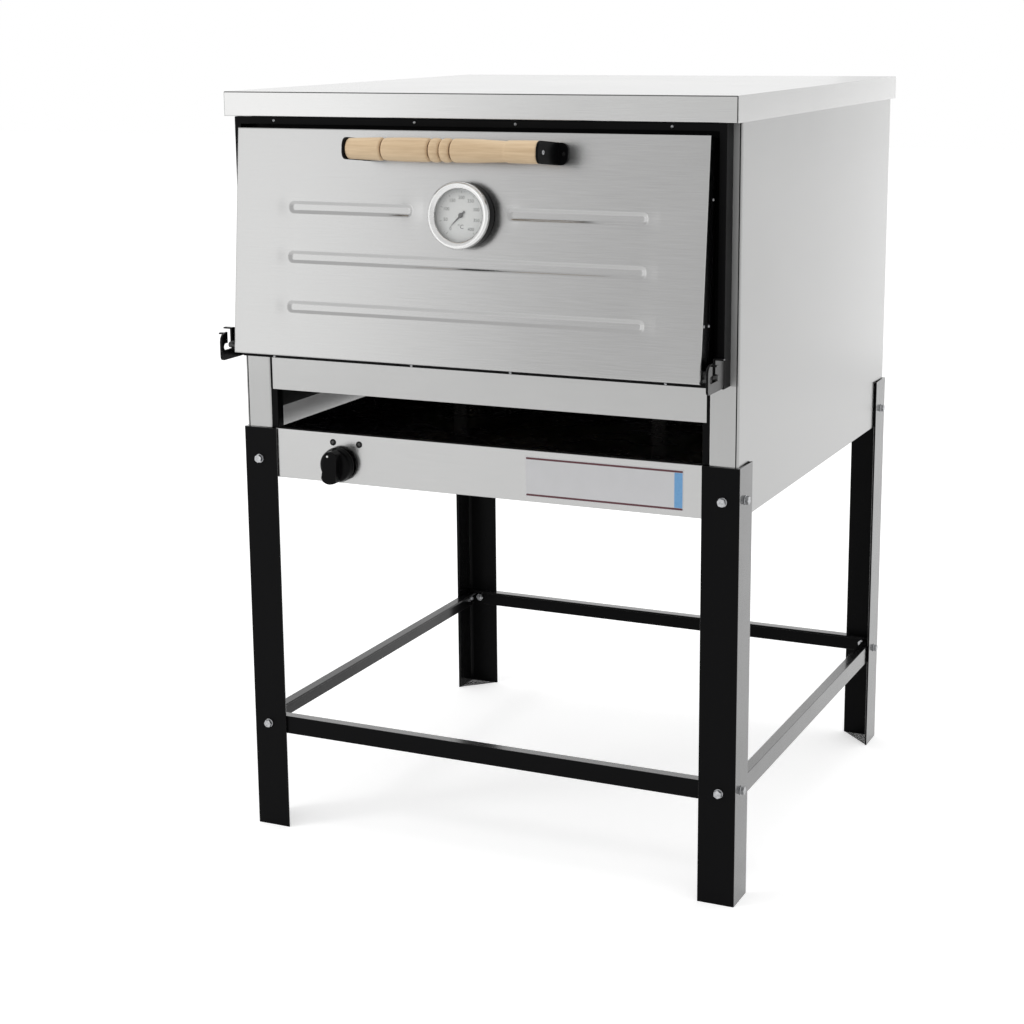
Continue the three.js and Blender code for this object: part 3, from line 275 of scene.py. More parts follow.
def shade(tree, amount, dark, light, low=NOISE_LOW, high=NOISE_HIGH):
    """A colour between dark and light, by an amount."""
    ramp = add_node(tree, "ValToRGB", Fac=amount)
    for stop, position, colour in zip(ramp.color_ramp.elements, (low, high), (dark, light)):
        stop.position = position
        stop.color = (*colour, 1)
    return ramp.outputs["Color"]


def spread(tree, amount, low, high, start=NOISE_LOW, end=NOISE_HIGH):
    """Stretches an amount, such as the middle of a noise, to the values from low to high."""
    made = add_node(tree, "MapRange", Value=amount, From_Min=start, From_Max=end, To_Min=low, To_Max=high)
    return made.outputs["Result"]


def bump(tree, shader, height, distance, strength=1.0):
    made = add_node(tree, "Bump", Height=height, Distance=distance, Strength=strength)
    tree.links.new(made.outputs["Normal"], socket(shader, "Normal"))


def edge_mask(tree, radius):
    """One along the piece's edges and nought on its flats."""
    soft = add_node(tree, "Bevel", Radius=radius)
    flat = add_node(tree, "NewGeometry")
    match = add_node(tree, "VectorMath", operation="DOT_PRODUCT")
    tree.links.new(soft.outputs[0], match.inputs[0])
    tree.links.new(flat.outputs["Normal"], match.inputs[1])
    away = math_node(tree, "SUBTRACT", 1.0, match.outputs["Value"])
    return math_node(tree, "MINIMUM", math_node(tree, "MULTIPLY", away, EDGE_GAIN), 1.0)


def make_finishes(maker, recipes):
    for finish, recipe in recipes.items():
        finishes[finish] = maker(*recipe)
    print("made:", list(recipes))


def set_inputs(tree, shader, **values):
    for name, value in values.items():
        tree.links.new(value, socket(shader, name.replace("_", " ")))


print("finish helpers ready")

# %% [markdown]
# ### Brushed stainless sheet
#
# The sheets were brushed in one direction at the mill. The brush leaves long fine
# scratches, which mostly show as a roughness that changes across the grain. A noise
# stretched sixty times along the grain makes both the scratches and their faint bump, and a
# second, broad noise is the slight cloudiness of sheet that has been wiped. A belt can't
# reach into the corner beside the door frame, so that strip keeps the mill's dull face.
# Along the cover's front bend the colour is darkened, which is painted shade: the dark
# line that the fold's own shade makes.

# %% Brushed steels
GRAIN_STRETCH = 60
UNBRUSHED_DULLER = 0.35
BEND_PAINTED_SHADE = 0.75
BEND_PAINTED_SHADE_DOWN, BEND_PAINTED_SHADE_BACK = 1.4 * MM, 1.3 * MM


def zone(tree, coords, low, high):
    """One inside a box, and nought outside. X is counted from the middle to both sides."""
    split = add_node(tree, "SeparateXYZ", Vector=coords).outputs
    places = (math_node(tree, "ABSOLUTE", split[0]), split[1], split[2])
    inside = 1.0
    for value, start, end in zip(places, low, high):
        for operation, limit in (("GREATER_THAN", start), ("LESS_THAN", end)):
            inside = math_node(tree, "MULTIPLY", math_node(tree, operation, value, limit), inside)
    return inside


def brushed_steel(name, grain, tone=0.385, dull=None, painted_shade_zone=None):
    made, tree, shader, coords = start_finish(name, Metallic=1.0)
    along = tuple(1 if axis == grain else GRAIN_STRETCH for axis in "XYZ")
    scratches = noise(tree, coords, 22, 4, along)
    clouds = noise(tree, coords, 5, 3)
    mixed = weighted(tree, (scratches, 0.6), (clouds, 0.4))
    dark, light = ((tone * k, tone * k, tone * k * 0.993) for k in (0.96, 1.05))
    colour, rough = shade(tree, mixed, dark, light), spread(tree, mixed, 0.19, 0.27)
    if dull:
        duller = math_node(tree, "MULTIPLY", zone(tree, coords, *dull), UNBRUSHED_DULLER)
        rough = math_node(tree, "ADD", rough, duller)
    # the colour is darkened in this zone: painted shade along the cover's front bend
    if painted_shade_zone:
        darker = math_node(tree, "MULTIPLY", zone(tree, coords, *painted_shade_zone), BEND_PAINTED_SHADE)
        kept = math_node(tree, "SUBTRACT", 1, darker)
        scaled = add_node(tree, "VectorMath", operation="SCALE", Scale=kept)
        tree.links.new(colour, scaled.inputs[0])
        colour = scaled.outputs[0]
    set_inputs(tree, shader, Base_Color=colour, Roughness=rough)
    bump(tree, shader, scratches, 0.00003)
    return made


frame_box, side_box, cover_box = (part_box(node) for node in ("door_frame", "side_panel_right", "top_cover"))
beside_frame = ((frame_box[1].x, -1, frame_box[0].z), (1, side_box[0].y + 0.5 * MM, side_box[1].z))
# the band along the cover's front bend that gets painted shade
front_bend_painted_shade = ((-1, -1, cover_box[1].z - BEND_PAINTED_SHADE_DOWN), (1, cover_box[0].y + BEND_PAINTED_SHADE_BACK, 2))
# name, direction of the grain, tone, dull zone, zone of painted shade
# the tones differ by piece: the cover's lighter tone is painted light on the top, and the side panels' darker tone
# is painted shade on the sides
STEELS = {
    "steel_X": ("brushed_steel_X", "X"),
    "steel_Z": ("brushed_steel_Z", "Z", 0.36, beside_frame),
    "cover_steel": ("cover_brushed_steel", "X", 0.48, None, front_bend_painted_shade),
    "panel_steel": ("burner_panel_brushed_steel", "X", 0.43),
    "door_steel": ("door_brushed_steel", "X"),
}
make_finishes(brushed_steel, STEELS)

# %% [markdown]
# ### Black powder coat, plastic and enamel
#
# The legs, braces, frame and brackets are powder coated. The coat has a fine orange peel,
# and it is thinnest on the edges, where rubbing shows first. Seen straight on it is nearly
# pure black, and at a slant it shines like silk. So the gloss is a clear coat over a dull
# black, and its weight rises with the slant. The coat on the hinge brackets and the left
# brace is thinner, and the door frame's hardly shines. The knob is moulded plastic and the
# chamber is vitreous enamel, which are the same recipe with another peel and another gloss.

# %% Black finishes
BLACK, RUBBED = (0.003, 0.003, 0.0033), (0.12, 0.118, 0.115)
WORN_EDGE = 0.8 * MM
SLANT_START, SLANT_FULL = 0.25, 0.62


def black_coat(name, peel, rough, worn, gloss):
    made, tree, shader, coords = start_finish(
        name, Metallic=0.0, Specular_IOR_Level=0.05, Coat_Roughness=0.14, Coat_IOR=1.8)
    grain = noise(tree, coords, peel, 2)
    patches = noise(tree, coords, 14, 4)
    edges = edge_mask(tree, WORN_EDGE)
    rubbed = math_node(tree, "MULTIPLY", edges, math_node(tree, "MULTIPLY", patches, worn))
    slant = add_node(tree, "LayerWeight", Blend=0.5).outputs["Facing"]
    set_inputs(tree, shader, Base_Color=shade(tree, rubbed, BLACK, RUBBED, 0, 1),
               Roughness=spread(tree, patches, rough - 0.05, rough + 0.07),
               Coat_Weight=spread(tree, slant, 0.0, gloss, SLANT_START, SLANT_FULL))
    bump(tree, shader, grain, 0.00003, 0.6)
    return made


# name, peel, roughness, wear on the edges, gloss at a slant
BLACK_COATS = {
    "powder": ("black_powder_coat", 420, 0.34, 0.4, 1.0),
    "plastic": ("black_plastic", 900, 0.3, 0.1, 0.07),
    "frame": ("black_door_frame", 420, 0.34, 0.3, 0.05),
    "thin_powder": ("black_thin_powder_coat", 420, 0.34, 0.6, 0.45),
    "enamel": ("black_enamel", 160, 0.26, 0.15, 0.8),
}
make_finishes(black_coat, BLACK_COATS)

# %% [markdown]
# ### Small metals
#
# Zinc on the bolts is dull and faintly blue, the thermometer's ring and the rack are satin
# steel, the hinge pins are dark with oil, the valve is machined brass and the burner is
# blackened by heat.

# %% Small metals
def grained(name, dark, light, rough, scale, relief, stretch=(1, 1, 1), metal=0.0, detail=6, rise=0.1):
    """A finish whose colour, gloss and relief follow one fine grain."""
    made, tree, shader, coords = start_finish(name, Metallic=metal)
    grain = noise(tree, coords, scale, detail, stretch)
    set_inputs(tree, shader, Base_Color=shade(tree, grain, dark, light),
               Roughness=spread(tree, grain, rough, rough + rise))
    bump(tree, shader, grain, relief)
    return made


def grained_metal(*recipe):
    return grained(*recipe, metal=1.0, detail=4, rise=0.12)


# name, dark tone, light tone, roughness, fineness of the grain, its relief in metres
SMALL_METALS = {
    "zinc": ("zinc_plate", (0.28, 0.285, 0.295), (0.5, 0.505, 0.515), 0.24, 300, 0.00003),
    "brass": ("machined_brass", (0.42, 0.28, 0.1), (0.62, 0.44, 0.17), 0.25, 200, 0.00003),
    "iron": ("burner_iron", (0.02, 0.02, 0.022), (0.09, 0.085, 0.08), 0.5, 180, 0.0001),
    "satin": ("satin_steel", (0.6, 0.6, 0.595), (0.67, 0.67, 0.665), 0.2, 90, 0.00001),
    "dark_steel": ("oiled_steel", (0.035, 0.035, 0.035), (0.09, 0.09, 0.09), 0.3, 200, 0.00002),
}
make_finishes(grained_metal, SMALL_METALS)

# %% [markdown]
# ### Wood, dial, glass, slabs and wool
#
# The grip is a pale wood, turned and oiled. Its grain runs along the grip: long fine fibres,
# and the edges of a few growth rings, which are only a little darker than the wood between.
# The dial is matt pale paint under clear glass. The slabs are sandy fired clay, and the
# insulation is matted wool.

# %% Wood
wood, tree, shader, coords = start_finish("turned_wood", Metallic=0.0, Specular_IOR_Level=0.35)
fibres = noise(tree, coords, 260, 4, (0.03, 1, 1))
rings = noise(tree, coords, 46, 2, (0.06, 0.5, 1))
pores = noise(tree, coords, 700, 2, (0.06, 1, 1))
figure = weighted(tree, (fibres, 0.35), (rings, 0.5), (pores, 0.15))
pale_ring, dark_ring = (0.75, 0.575, 0.375), (0.52, 0.365, 0.215)
set_inputs(tree, shader, Base_Color=shade(tree, figure, dark_ring, pale_ring, NOISE_LOW, 0.58),
           Roughness=spread(tree, fibres, 0.45, 0.6))
bump(tree, shader, fibres, 0.00005)
finishes["wood"] = wood
print("wood grain runs along the grip")

# %% Dial, glass, slabs and wool
# as for the small metals; the wool's grain lies flat
SURFACES = {
    "dial": ("dial_paint", (0.68, 0.69, 0.68), (0.72, 0.73, 0.72), 0.5, 300, 0.00001),
    "groove_dark_wood": ("groove_dark_wood", (0.10, 0.05, 0.02), (0.2, 0.11, 0.05), 0.6, 300, 0.00003),
    "mark": ("dial_print", (0.03, 0.03, 0.03), (0.045, 0.045, 0.045), 0.5, 600, 0.00001),
    "white": ("white_print", (0.72, 0.72, 0.7), (0.8, 0.8, 0.78), 0.5, 600, 0.00001),
    "foil": ("plate_foil", (0.58, 0.58, 0.59), (0.60, 0.60, 0.612), 0.42, 40, 0.00001),
    "red_line": ("red_ink", (0.07, 0.016, 0.022), (0.1, 0.022, 0.03), 0.5, 400, 0.00001),
    "blue_band": ("blue_ink", (0.13, 0.32, 0.58), (0.17, 0.37, 0.63), 0.5, 400, 0.00001),
    "lens": ("smoked_lens", (0.02, 0.02, 0.02), (0.05, 0.05, 0.05), 0.08, 120, 0.00001),
    "slab": ("refractory_slab", (0.42, 0.32, 0.21), (0.66, 0.54, 0.38), 0.85, 120, 0.0006),
    "wool": ("mineral_wool", (0.42, 0.35, 0.2), (0.72, 0.64, 0.42), 0.9, 90, 0.002, (1, 1, 6)),
}
make_finishes(grained, SURFACES)

# %% [markdown]
# The dial glass is so thin that nothing bends in it. A shader that really refracts would
# keep the lamps' light off the dial, so the glass is a faint film instead: it is almost
# wholly clear and only adds its gloss.

# %% Glass
glass, tree, shader, coords = start_finish("clear_glass", Metallic=0.0, Alpha=0.08, IOR=1.45)
smears = noise(tree, coords, 40, 3)
set_inputs(tree, shader, Base_Color=shade(tree, smears, (0.9, 0.92, 0.92), (0.97, 0.98, 0.98)),
           Roughness=spread(tree, smears, 0.02, 0.06))
finishes["glass"] = glass
print(len(finishes), "finishes:", sorted(finishes))

# %% [markdown]
# ## Rounded folds and edges
#
# Folded sheet never has a razor edge: the outside of a fold has a radius, and cut edges are
# dulled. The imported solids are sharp, so most nodes are shown by a copy. Flat faces are
# merged first, then the folds on the copy's outline get a larger radius than the rest.

# %% Helper: put a finished mesh in the scene
def show(name, mesh, finish, body, nodes=(), smooth_angle=40, sheet=0.0):
    """Turns a bmesh into a piece that rides on a body and may stand for CAD nodes."""
    bmesh.ops.recalc_face_normals(mesh, faces=mesh.faces)
    data = as_data(name, mesh)
    data.shade_smooth()
    data.set_sharp_from_angle(angle=radians(smooth_angle))
    data.materials.append(finishes[finish])
    piece = in_scene(name, data)
    if sheet:
        thick = piece.modifiers.new("sheet_thickness", "SOLIDIFY")
        thick.thickness, thick.offset = sheet * MM, -1
    piece.modifiers.new("even_shading", "WEIGHTED_NORMAL").keep_sharp = True
    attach(piece, body)
    if nodes:
        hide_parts(*nodes)
    return piece


def round_edges(mesh, edges, radius, segments):
    if edges:
        bmesh.ops.bevel(mesh, geom=edges, offset=radius * MM, segments=segments,
                        profile=0.5, affect="EDGES", clamp_overlap=True)


def sharp_edges(mesh, angle=30):
    limit = radians(angle)
    return [e for e in mesh.edges if len(e.link_faces) == 2 and e.calc_face_angle(0) > limit]


def outline_folds(mesh, low, high):
    """Edges that lie on two faces of the node's box, such as a sheet's outer corners."""
    found = []
    for edge in sharp_edges(mesh, 60):
        planes = set()
        for axis in range(3):
            for side in (low, high):
                if all(abs(v.co[axis] - side[axis]) < 0.02 * MM for v in edge.verts):
                    planes.add(axis)
        if len(planes) == 2:
            found.append(edge)
    return found


def softened(node, finish, body, edge=0.25, fold=None):
    mesh = bmesh.new()
    mesh.from_mesh(frame["nodes"][node].data)
    bmesh.ops.remove_doubles(mesh, verts=mesh.verts, dist=0.002 * MM)
    bmesh.ops.dissolve_limit(mesh, angle_limit=radians(1), verts=mesh.verts, edges=mesh.edges)
    if fold:
        round_edges(mesh, outline_folds(mesh, *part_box(node)), fold, 4)
    round_edges(mesh, sharp_edges(mesh), edge, 1)
    return show(node + "_finished", mesh, finish, body, [node])


print("edge helpers ready")

# %% [markdown]
# ## Drawing in millimetres
#
# A maker draws each part flat, in millimetres, and then puts it where it belongs. The same
# is done here. A place is a matrix: the drawing's x runs across a face of the oven, its y
# runs up the face, and its z comes out of it. The door leans, so its own place is worked out
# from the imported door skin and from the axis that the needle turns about.

# %% Places on the oven and on the door
RIGHT, BACK, UP = Vector((1, 0, 0)), Vector((0, 1, 0)), Vector((0, 0, 1))
ACROSS = {"front": RIGHT, "back": -RIGHT, "right": BACK, "left": -BACK}


def place(origin, across, up=UP):
    """Where a drawing goes: x across, y up and z out of the face, in millimetres."""
    axes = Matrix((across, up, across.cross(up))).transposed().to_4x4()
    return Matrix.Translation(Vector(origin) * MM) @ axes @ Matrix.Scale(MM, 4)


joints = {joint["name"]: joint for joint in frame["joints"]}
door_in = Vector(joints["needle_turn"]["axis"]).normalized()
door_up = RIGHT.cross(door_in)
skin_points = [v.co / MM for v in frame["nodes"]["door_skin"].data.vertices]
door_front = min(point.dot(door_in) for point in skin_points)
door_foot = min(point.dot(door_up) for point in skin_points)
DOOR_HEIGHT = max(point.dot(door_up) for point in skin_points) - door_foot
DOOR_HALF_WIDTH = max(point.x for point in skin_points)
DOOR = place(door_in * door_front + door_up * door_foot, RIGHT, door_up)


def on_door(x, y, z=0.0):
    """A place on the door: x across, y up from its foot and z out from its face."""
    return DOOR @ Matrix.Translation((x, y, z))


def across_door(x, y, z, sign=1):
    """A place on the door whose own z runs along the door, to the right or to the left."""
    return on_door(x, y, z) @ Matrix.Rotation(sign * radians(90), 4, "Y")


def in_door(node):
    """A node's points as the door's own drawing has them."""
    back = DOOR.inverted()
    return [back @ v.co for v in frame["nodes"][node].data.vertices]


def extent(points, axis):
    """The lowest and the highest place of some points along one axis."""
    values = [point[axis] for point in points]
    return min(values), max(values)


print("door leans", round(degrees(asin(-door_in.z)), 2), "degrees and is",
      round(DOOR_HEIGHT, 1), "mm high")

# %% Helper: outlines with round corners
def rounded(corners, steps=5):
    """An outline from corners (x, y, radius), with an arc at each corner that has a radius."""
    outline = []
    for k, (x, y, radius) in enumerate(corners):
        here = Vector((x, y))
        behind = (Vector(corners[k - 1][:2]) - here).normalized()
        ahead = (Vector(corners[(k + 1) % len(corners)][:2]) - here).normalized()
        if radius <= 0:
            outline.append(here)
            continue
        half = behind.angle(ahead) / 2
        centre = here + (behind + ahead).normalized() * radius / sin(half)
        start = here + behind * radius / tan(half) - centre
        end = here + ahead * radius / tan(half) - centre
        sweep = start.angle(end)
        for step in range(steps + 1):
            share = step / steps
            spoke = start * sin((1 - share) * sweep) + end * sin(share * sweep)
            outline.append(centre + spoke / sin(sweep))
    return outline


def rectangle(left, low, right, high, radius=0.0, steps=5):
    corners = ((left, low), (right, low), (right, high), (left, high))
    return rounded([(x, y, radius) for x, y in corners], steps)


def folded(path, sheet, bend):
    """The section of a folded sheet. The path is its outer face, and the sheet is on its left."""
    points = [Vector(point) for point in path]
    runs = [(b - a).normalized() for a, b in zip(points, points[1:])]
    outer, inner = [], []
    for k, point in enumerate(points):
        before, after = runs[max(k - 1, 0)], runs[min(k, len(runs) - 1)]
        left = Vector((-before.y - after.y, before.x + after.x))
        within = point + left * 2 * sheet / left.length_squared
        turn = before.x * after.y - before.y * after.x
        radii = (0, 0) if abs(turn) < 0.001 else (bend + sheet, bend) if turn > 0 else (bend, bend + sheet)
        outer.append((*point, radii[0]))
        inner.append((*within, radii[1]))
    return rounded(outer + inner[::-1])


print("an L of 1.2 mm sheet has", len(folded([(0, 20), (0, 0), (20, 0)], 1.2, 1.2)), "outline points")

# %% Helper: turned, cut and joined meshes
def join_rings(mesh, rings):
    """Faces between closed rings of points, where a ring may be one point many times."""
    for low, high in zip(rings, rings[1:]):
        for k in range(len(low)):
            corners = list(dict.fromkeys((low[k - 1], low[k], high[k], high[k - 1])))
            if len(corners) > 2:
                mesh.faces.new(corners)


def turned(outline, at, sides=48):
    """An outline of (radius, height) points turned about the drawing's z axis."""
    mesh = bmesh.new()
    rings = []
    for radius, height in outline:
        if radius < 0.001:
            rings.append([mesh.verts.new(at @ Vector((0, 0, height)))] * sides)
            continue
        spokes = [2 * pi * k / sides for k in range(sides)]
        rings.append([mesh.verts.new(at @ Vector((radius * cos(a), radius * sin(a), height)))
                      for a in spokes])
    join_rings(mesh, rings)
    bmesh.ops.remove_doubles(mesh, verts=mesh.verts, dist=0.001 * MM)
    return mesh


def cut_out(outline, low, high, at, edge=0.0, segments=1):
    """An outline given a thickness from low to high, with its rims dulled."""
    mesh = bmesh.new()
    ends = [[mesh.verts.new(at @ Vector((*point, z))) for point in outline] for z in (low, high)]
    caps = [mesh.faces.new(end) for end in ends]
    join_rings(mesh, ends)
    round_edges(mesh, [e for cap in caps for e in cap.edges] if edge else [], edge, segments)
    return mesh


def together(*parts):
    """Several closed meshes as one piece."""
    whole = bmesh.new()
    for part in parts:
        data = as_data("part", part)
        whole.from_mesh(data)
        bpy.data.meshes.remove(data)
    return whole


def smooth_outline(points):
    """A curve through the points of an outline, for turned wood."""
    curve = []
    last = len(points) - 1
    for k in range(last):
        a, b, c, d = (Vector(points[min(max(k + step, 0), last)]) for step in (-1, 0, 1, 2))
        for t in (0, 0.25, 0.5, 0.75):
            curve.append(b + (c - a) * t / 2 + (a * 2 - b * 5 + c * 4 - d) * t * t / 2
                         + (b * 3 - a - c * 3 + d) * t ** 3 / 2)
    curve.append(Vector(points[last]))
    return curve


def patch(mesh, rows, at=Matrix.Scale(MM, 4)):
    """Faces between rows of points, in the oven's own axes if no place is given."""
    made = [[mesh.verts.new(at @ Vector(point)) for point in row] for row in rows]
    for low, high in zip(made, made[1:]):
        for k in range(1, len(low)):
            mesh.faces.new((low[k - 1], low[k], high[k], high[k - 1]))


print("drawing tools ready")

# %% [markdown]
# ## Fasteners
#
# The oven is held by hexagon bolts, nuts and small round-headed screws. A bolt head's
# corners are cut to a cone by the machine that makes it, which leaves a curved edge on each
# flat. So the head is made of rings: each ring follows the hexagon, and its height drops
# where the hexagon runs out past the cone. Screw heads are low domes with a cross cut in.

# %% Bolts, nuts and screws
SCREW_SIDES = 20
HEX_POINTS = 36
CHAMFER = radians(30)
BOLT_HEAD, BOLT_NUT, BOLT_RADIUS = 11, 12, 3
THREAD_PITCH, THREAD_DEPTH = 1.0, 0.5
FLIPPED = Matrix.Rotation(pi, 4, "X")


def hexagon(across_corners, low, high, at, spin=0.0):
    """A bolt head or nut with the corners of its outer face chamfered."""
    mesh = bmesh.new()
    flat = across_corners / 2 * cos(radians(30))
    rings = [[], [], []]
    for k in range(HEX_POINTS):
        turned_by = 360 // HEX_POINTS * k
        angle = radians(turned_by) + spin
        reach = flat / cos(radians(turned_by % 60 - 30))
        drop = (reach - flat) * tan(CHAMFER)
        for ring, radius, height in zip(rings, (reach, reach, flat * 0.93), (low, high - drop, high)):
            x, y = radius * cos(angle), radius * sin(angle)
            ring.append(mesh.verts.new(at @ Vector((x, y, height))))
    join_rings(mesh, rings)
    mesh.faces.new(rings[0])
    mesh.faces.new(rings[-1])
    return mesh


def thread(radius, low, high):
    """The outline of a threaded rod: close grooves between flat ends."""
    root = radius - THREAD_DEPTH
    outline = [(0, low), (root, low)]
    height = low + THREAD_PITCH / 2
    while height + THREAD_PITCH / 2 < high:
        outline += [(radius, height), (root, height + THREAD_PITCH / 2)]
        height += THREAD_PITCH
    return outline + [(root, high), (0, high)]


def leg_bolt(name, at, clamped, spin):
    """A bolt through a leg and what is behind it, with its washer outside and its nut inside."""
    washer = turned([(0, 0), (5.7, 0), (6.0, 0.3), (6.0, 0.7), (5.7, 1.0), (0, 1.0)], at)
    head = hexagon(BOLT_HEAD, 1.0, 5.2, at, spin)
    rod = turned(thread(BOLT_RADIUS, -clamped - 8, -clamped - 1), at, 16)
    nut = hexagon(BOLT_NUT, clamped, clamped + 5, at @ FLIPPED, spin / 2)
    show(name, together(washer, head, rod, nut), "zinc", "casing", smooth_angle=30)


def round_screw(radius, height, at, spin):
    """A low domed screw head with a cross recess."""
    rim = height * 0.3
    dome = [(0, -0.5), (radius, -0.5), (radius, rim)]
    for step in range(1, 5):
        angle = radians(18 * step)
        dome.append((radius * cos(angle), height * (0.3 + 0.7 * sin(angle))))
    head = turned(dome + [(radius * 0.18, height), (0, height)], at, SCREW_SIDES)
    for vert in head.verts:
        local = at.inverted() @ vert.co
        reach = hypot(local.x, local.y)
        off_cross = abs(sin(2 * (atan2(local.y, local.x) + spin)))
        if 0.05 < reach < radius * 0.75 and local.z > 0 and off_cross < 0.45:
            vert.co = at @ (local - Vector((0, 0, height * 0.35)))
    return head


def screws(name, radius, height, spots, finish, body):
    """The same screw at several places, as one piece."""
    heads = [round_screw(radius, height, at, 0.4 + k) for k, at in enumerate(spots)]
    show(name, together(*heads), finish, body, smooth_angle=35)


print("bolt heads are", BOLT_HEAD, "mm across their corners")

# %% [markdown]
# ## Stand
#
# Each leg is a length of rolled steel angle. Rolling leaves a nearly sharp outer corner, a
# round fillet inside it, and flange ends that are round on the inner side only. That section
# is drawn once and cut to length, mirrored into each corner. Every leg has four zinc bolts:
# the upper two hold the casing and the lower two hold the braces. The builder never turns
# two bolts to the same angle, so each head here has its own.

# %% Legs and their bolts
LEG_FLANGE = 49
LEG_SHEET = 3
BOLT_INSET = 22
BOLT_DROP, CASING_CLAMPED = 43, 4.8
BRACE_BOLT_DROP, BRACE_CLAMPED = 12.5, 6.6
BOLT_SPIN = 0.37
leg_section = rounded([(0, 0, 0.9), (LEG_FLANGE, 0, 0.4), (LEG_FLANGE, LEG_SHEET, 1.8),
                       (LEG_SHEET, LEG_SHEET, 3.5), (LEG_SHEET, LEG_FLANGE, 1.8), (0, LEG_FLANGE, 0.4)])
brace_bolt_height = box_mm("brace_front")[1].z - BRACE_BOLT_DROP
bolt_count = 0
for end, end_sign in (("front", -1), ("back", 1)):
    for side, side_sign in SIDES.items():
        node = f"leg_{end}_{side}"
        feet = [v.co / MM for v in frame["nodes"][node].data.vertices if v.co.z < MM]
        corner_x = side_sign * max(side_sign * foot.x for foot in feet)
        corner_y = end_sign * max(end_sign * foot.y for foot in feet)
        leg_top = box_mm(node)[1].z
        mirror = Matrix.Diagonal((-side_sign * MM, -end_sign * MM, MM, 1))
        at = Matrix.Translation(Vector((corner_x, corner_y, 0)) * MM) @ mirror
        show(node + "_angle", cut_out(leg_section, 0, leg_top, at, 0.4), "powder", "casing",
             [node])
        for level, height, clamped in (("upper", leg_top - BOLT_DROP, CASING_CLAMPED),
                                       ("lower", brace_bolt_height, BRACE_CLAMPED)):
            spots = {
                end: place((corner_x - side_sign * BOLT_INSET, corner_y, height), ACROSS[end]),
                side: place((corner_x, corner_y - end_sign * BOLT_INSET, height), ACROSS[side]),
            }
            for face, spot in spots.items():
                bolt_count += 1
                leg_bolt(f"bolt_{end}_{side}_{level}_{face}", spot, clamped, BOLT_SPIN * bolt_count)
print("four legs", round(leg_top), "mm high, held by", bolt_count, "bolts")

# %% [markdown]
# ## Casing
#
# The casing is folded from 1.2 mm stainless sheet. A press brake leaves a round outside and
# a round inside on every fold, and that soft line of light along an edge is what tells the
# eye it is sheet and not a block. So the side panels and the cover are folded again here
# from their outer lines, and the flatter sheets only have their folds rounded.
#
# A side panel is one section run upwards: the narrow front column, the side, and the back
# flange. Where column and side meet there is an open seam, so the section has a groove
# there. A thin dark strip at the groove's bottom is painted shade, which makes the seam
# show as a dark hairline.

# %% Side panels
SHEET = 1.2
BEND = 1.2
FRONT_RETURN = 16
SEAM, SEAM_DEPTH, SEAM_OFF_BEND = 1.5, 0.9, 0.2
for side, sign in SIDES.items():
    node = "side_panel_" + side
    low, high = box_mm(node)
    width, depth = high.x - low.x, high.y - low.y
    seam_start = width - 2 * BEND - SEAM - SEAM_OFF_BEND
    seam_end = seam_start + SEAM
    section = folded([(0, FRONT_RETURN), (0, 0), (width, 0), (width, depth), (0, depth)], SHEET, BEND)
    after = next(k for k, p in enumerate(section) if p.y < 0.001 and p.x > width / 2)
    section[after:after] = [Vector(p) for p in ((seam_start, 0), (seam_start, SEAM_DEPTH),
                                                (seam_end, SEAM_DEPTH), (seam_end, 0))]
    mirror = Matrix.Diagonal((sign * MM, MM, MM, 1))
    at = Matrix.Translation(Vector((low.x if sign > 0 else high.x, low.y, 0)) * MM) @ mirror
    panel = cut_out(section, low.z, high.z, at, 0.2)
    show(node + "_folded", panel, "steel_Z", "casing", [node], smooth_angle=30)
    # a thin black strip at the groove's bottom: painted shade in the seam
    strip = rectangle(seam_start + 0.05, SEAM_DEPTH - 0.25, seam_end - 0.05, SEAM_DEPTH)
    shadow = cut_out(strip, low.z + 0.5, high.z - 0.5, at)
    show("corner_seam_painted_shade_" + side, shadow, "plastic", "casing")
print("side panels are", round(depth), "mm deep and", round(high.z - low.z), "mm high")

# %% [markdown]
# The cover is a shallow tray with four lips. Its blank has a notch cut at each corner, so
# that neighbouring lips can be folded past each other, and on the finished tray the notch
# is a thin upright slit at each corner. Drawing the top and the four lips as strips that
# share their fold lines leaves that slit by itself. A thickness is given to the strips last.

# %% Top cover
COVER_BEND = 1.4
COVER_HEM = 12
QUARTER = [radians(angle) for angle in range(0, 91, 15)]
low, high = box_mm("top_cover")
inner_x, inner_y = high.x - COVER_BEND, (low.y + COVER_BEND, high.y - COVER_BEND)


def lip(hem):
    """A lip's section: how far out of the fold's start, and how high."""
    section = [(COVER_BEND * sin(a), high.z - COVER_BEND * (1 - cos(a))) for a in QUARTER]
    if not hem:
        return section + [(COVER_BEND, low.z)]
    section += [(COVER_BEND * cos(a), low.z + COVER_BEND * (1 - sin(a))) for a in QUARTER]
    return section + [(COVER_BEND - COVER_HEM, low.z)]


cover = bmesh.new()
patch(cover, [[(-inner_x, y, high.z), (inner_x, y, high.z)] for y in inner_y])
for start, sign in zip(inner_y, (-1, 1)):
    patch(cover, [[(end * inner_x, start + sign * out, z) for end in (-1, 1)] for out, z in lip(True)])
for sign in (-1, 1):
    patch(cover, [[(sign * (inner_x + out), y, z) for y in inner_y] for out, z in lip(False)])
bmesh.ops.remove_doubles(cover, verts=cover.verts, dist=0.01 * MM)
show("top_cover_folded", cover, "cover_steel", "casing", ["top_cover"], 30, SHEET)
print("cover is", [round(v) for v in high - low], "mm")

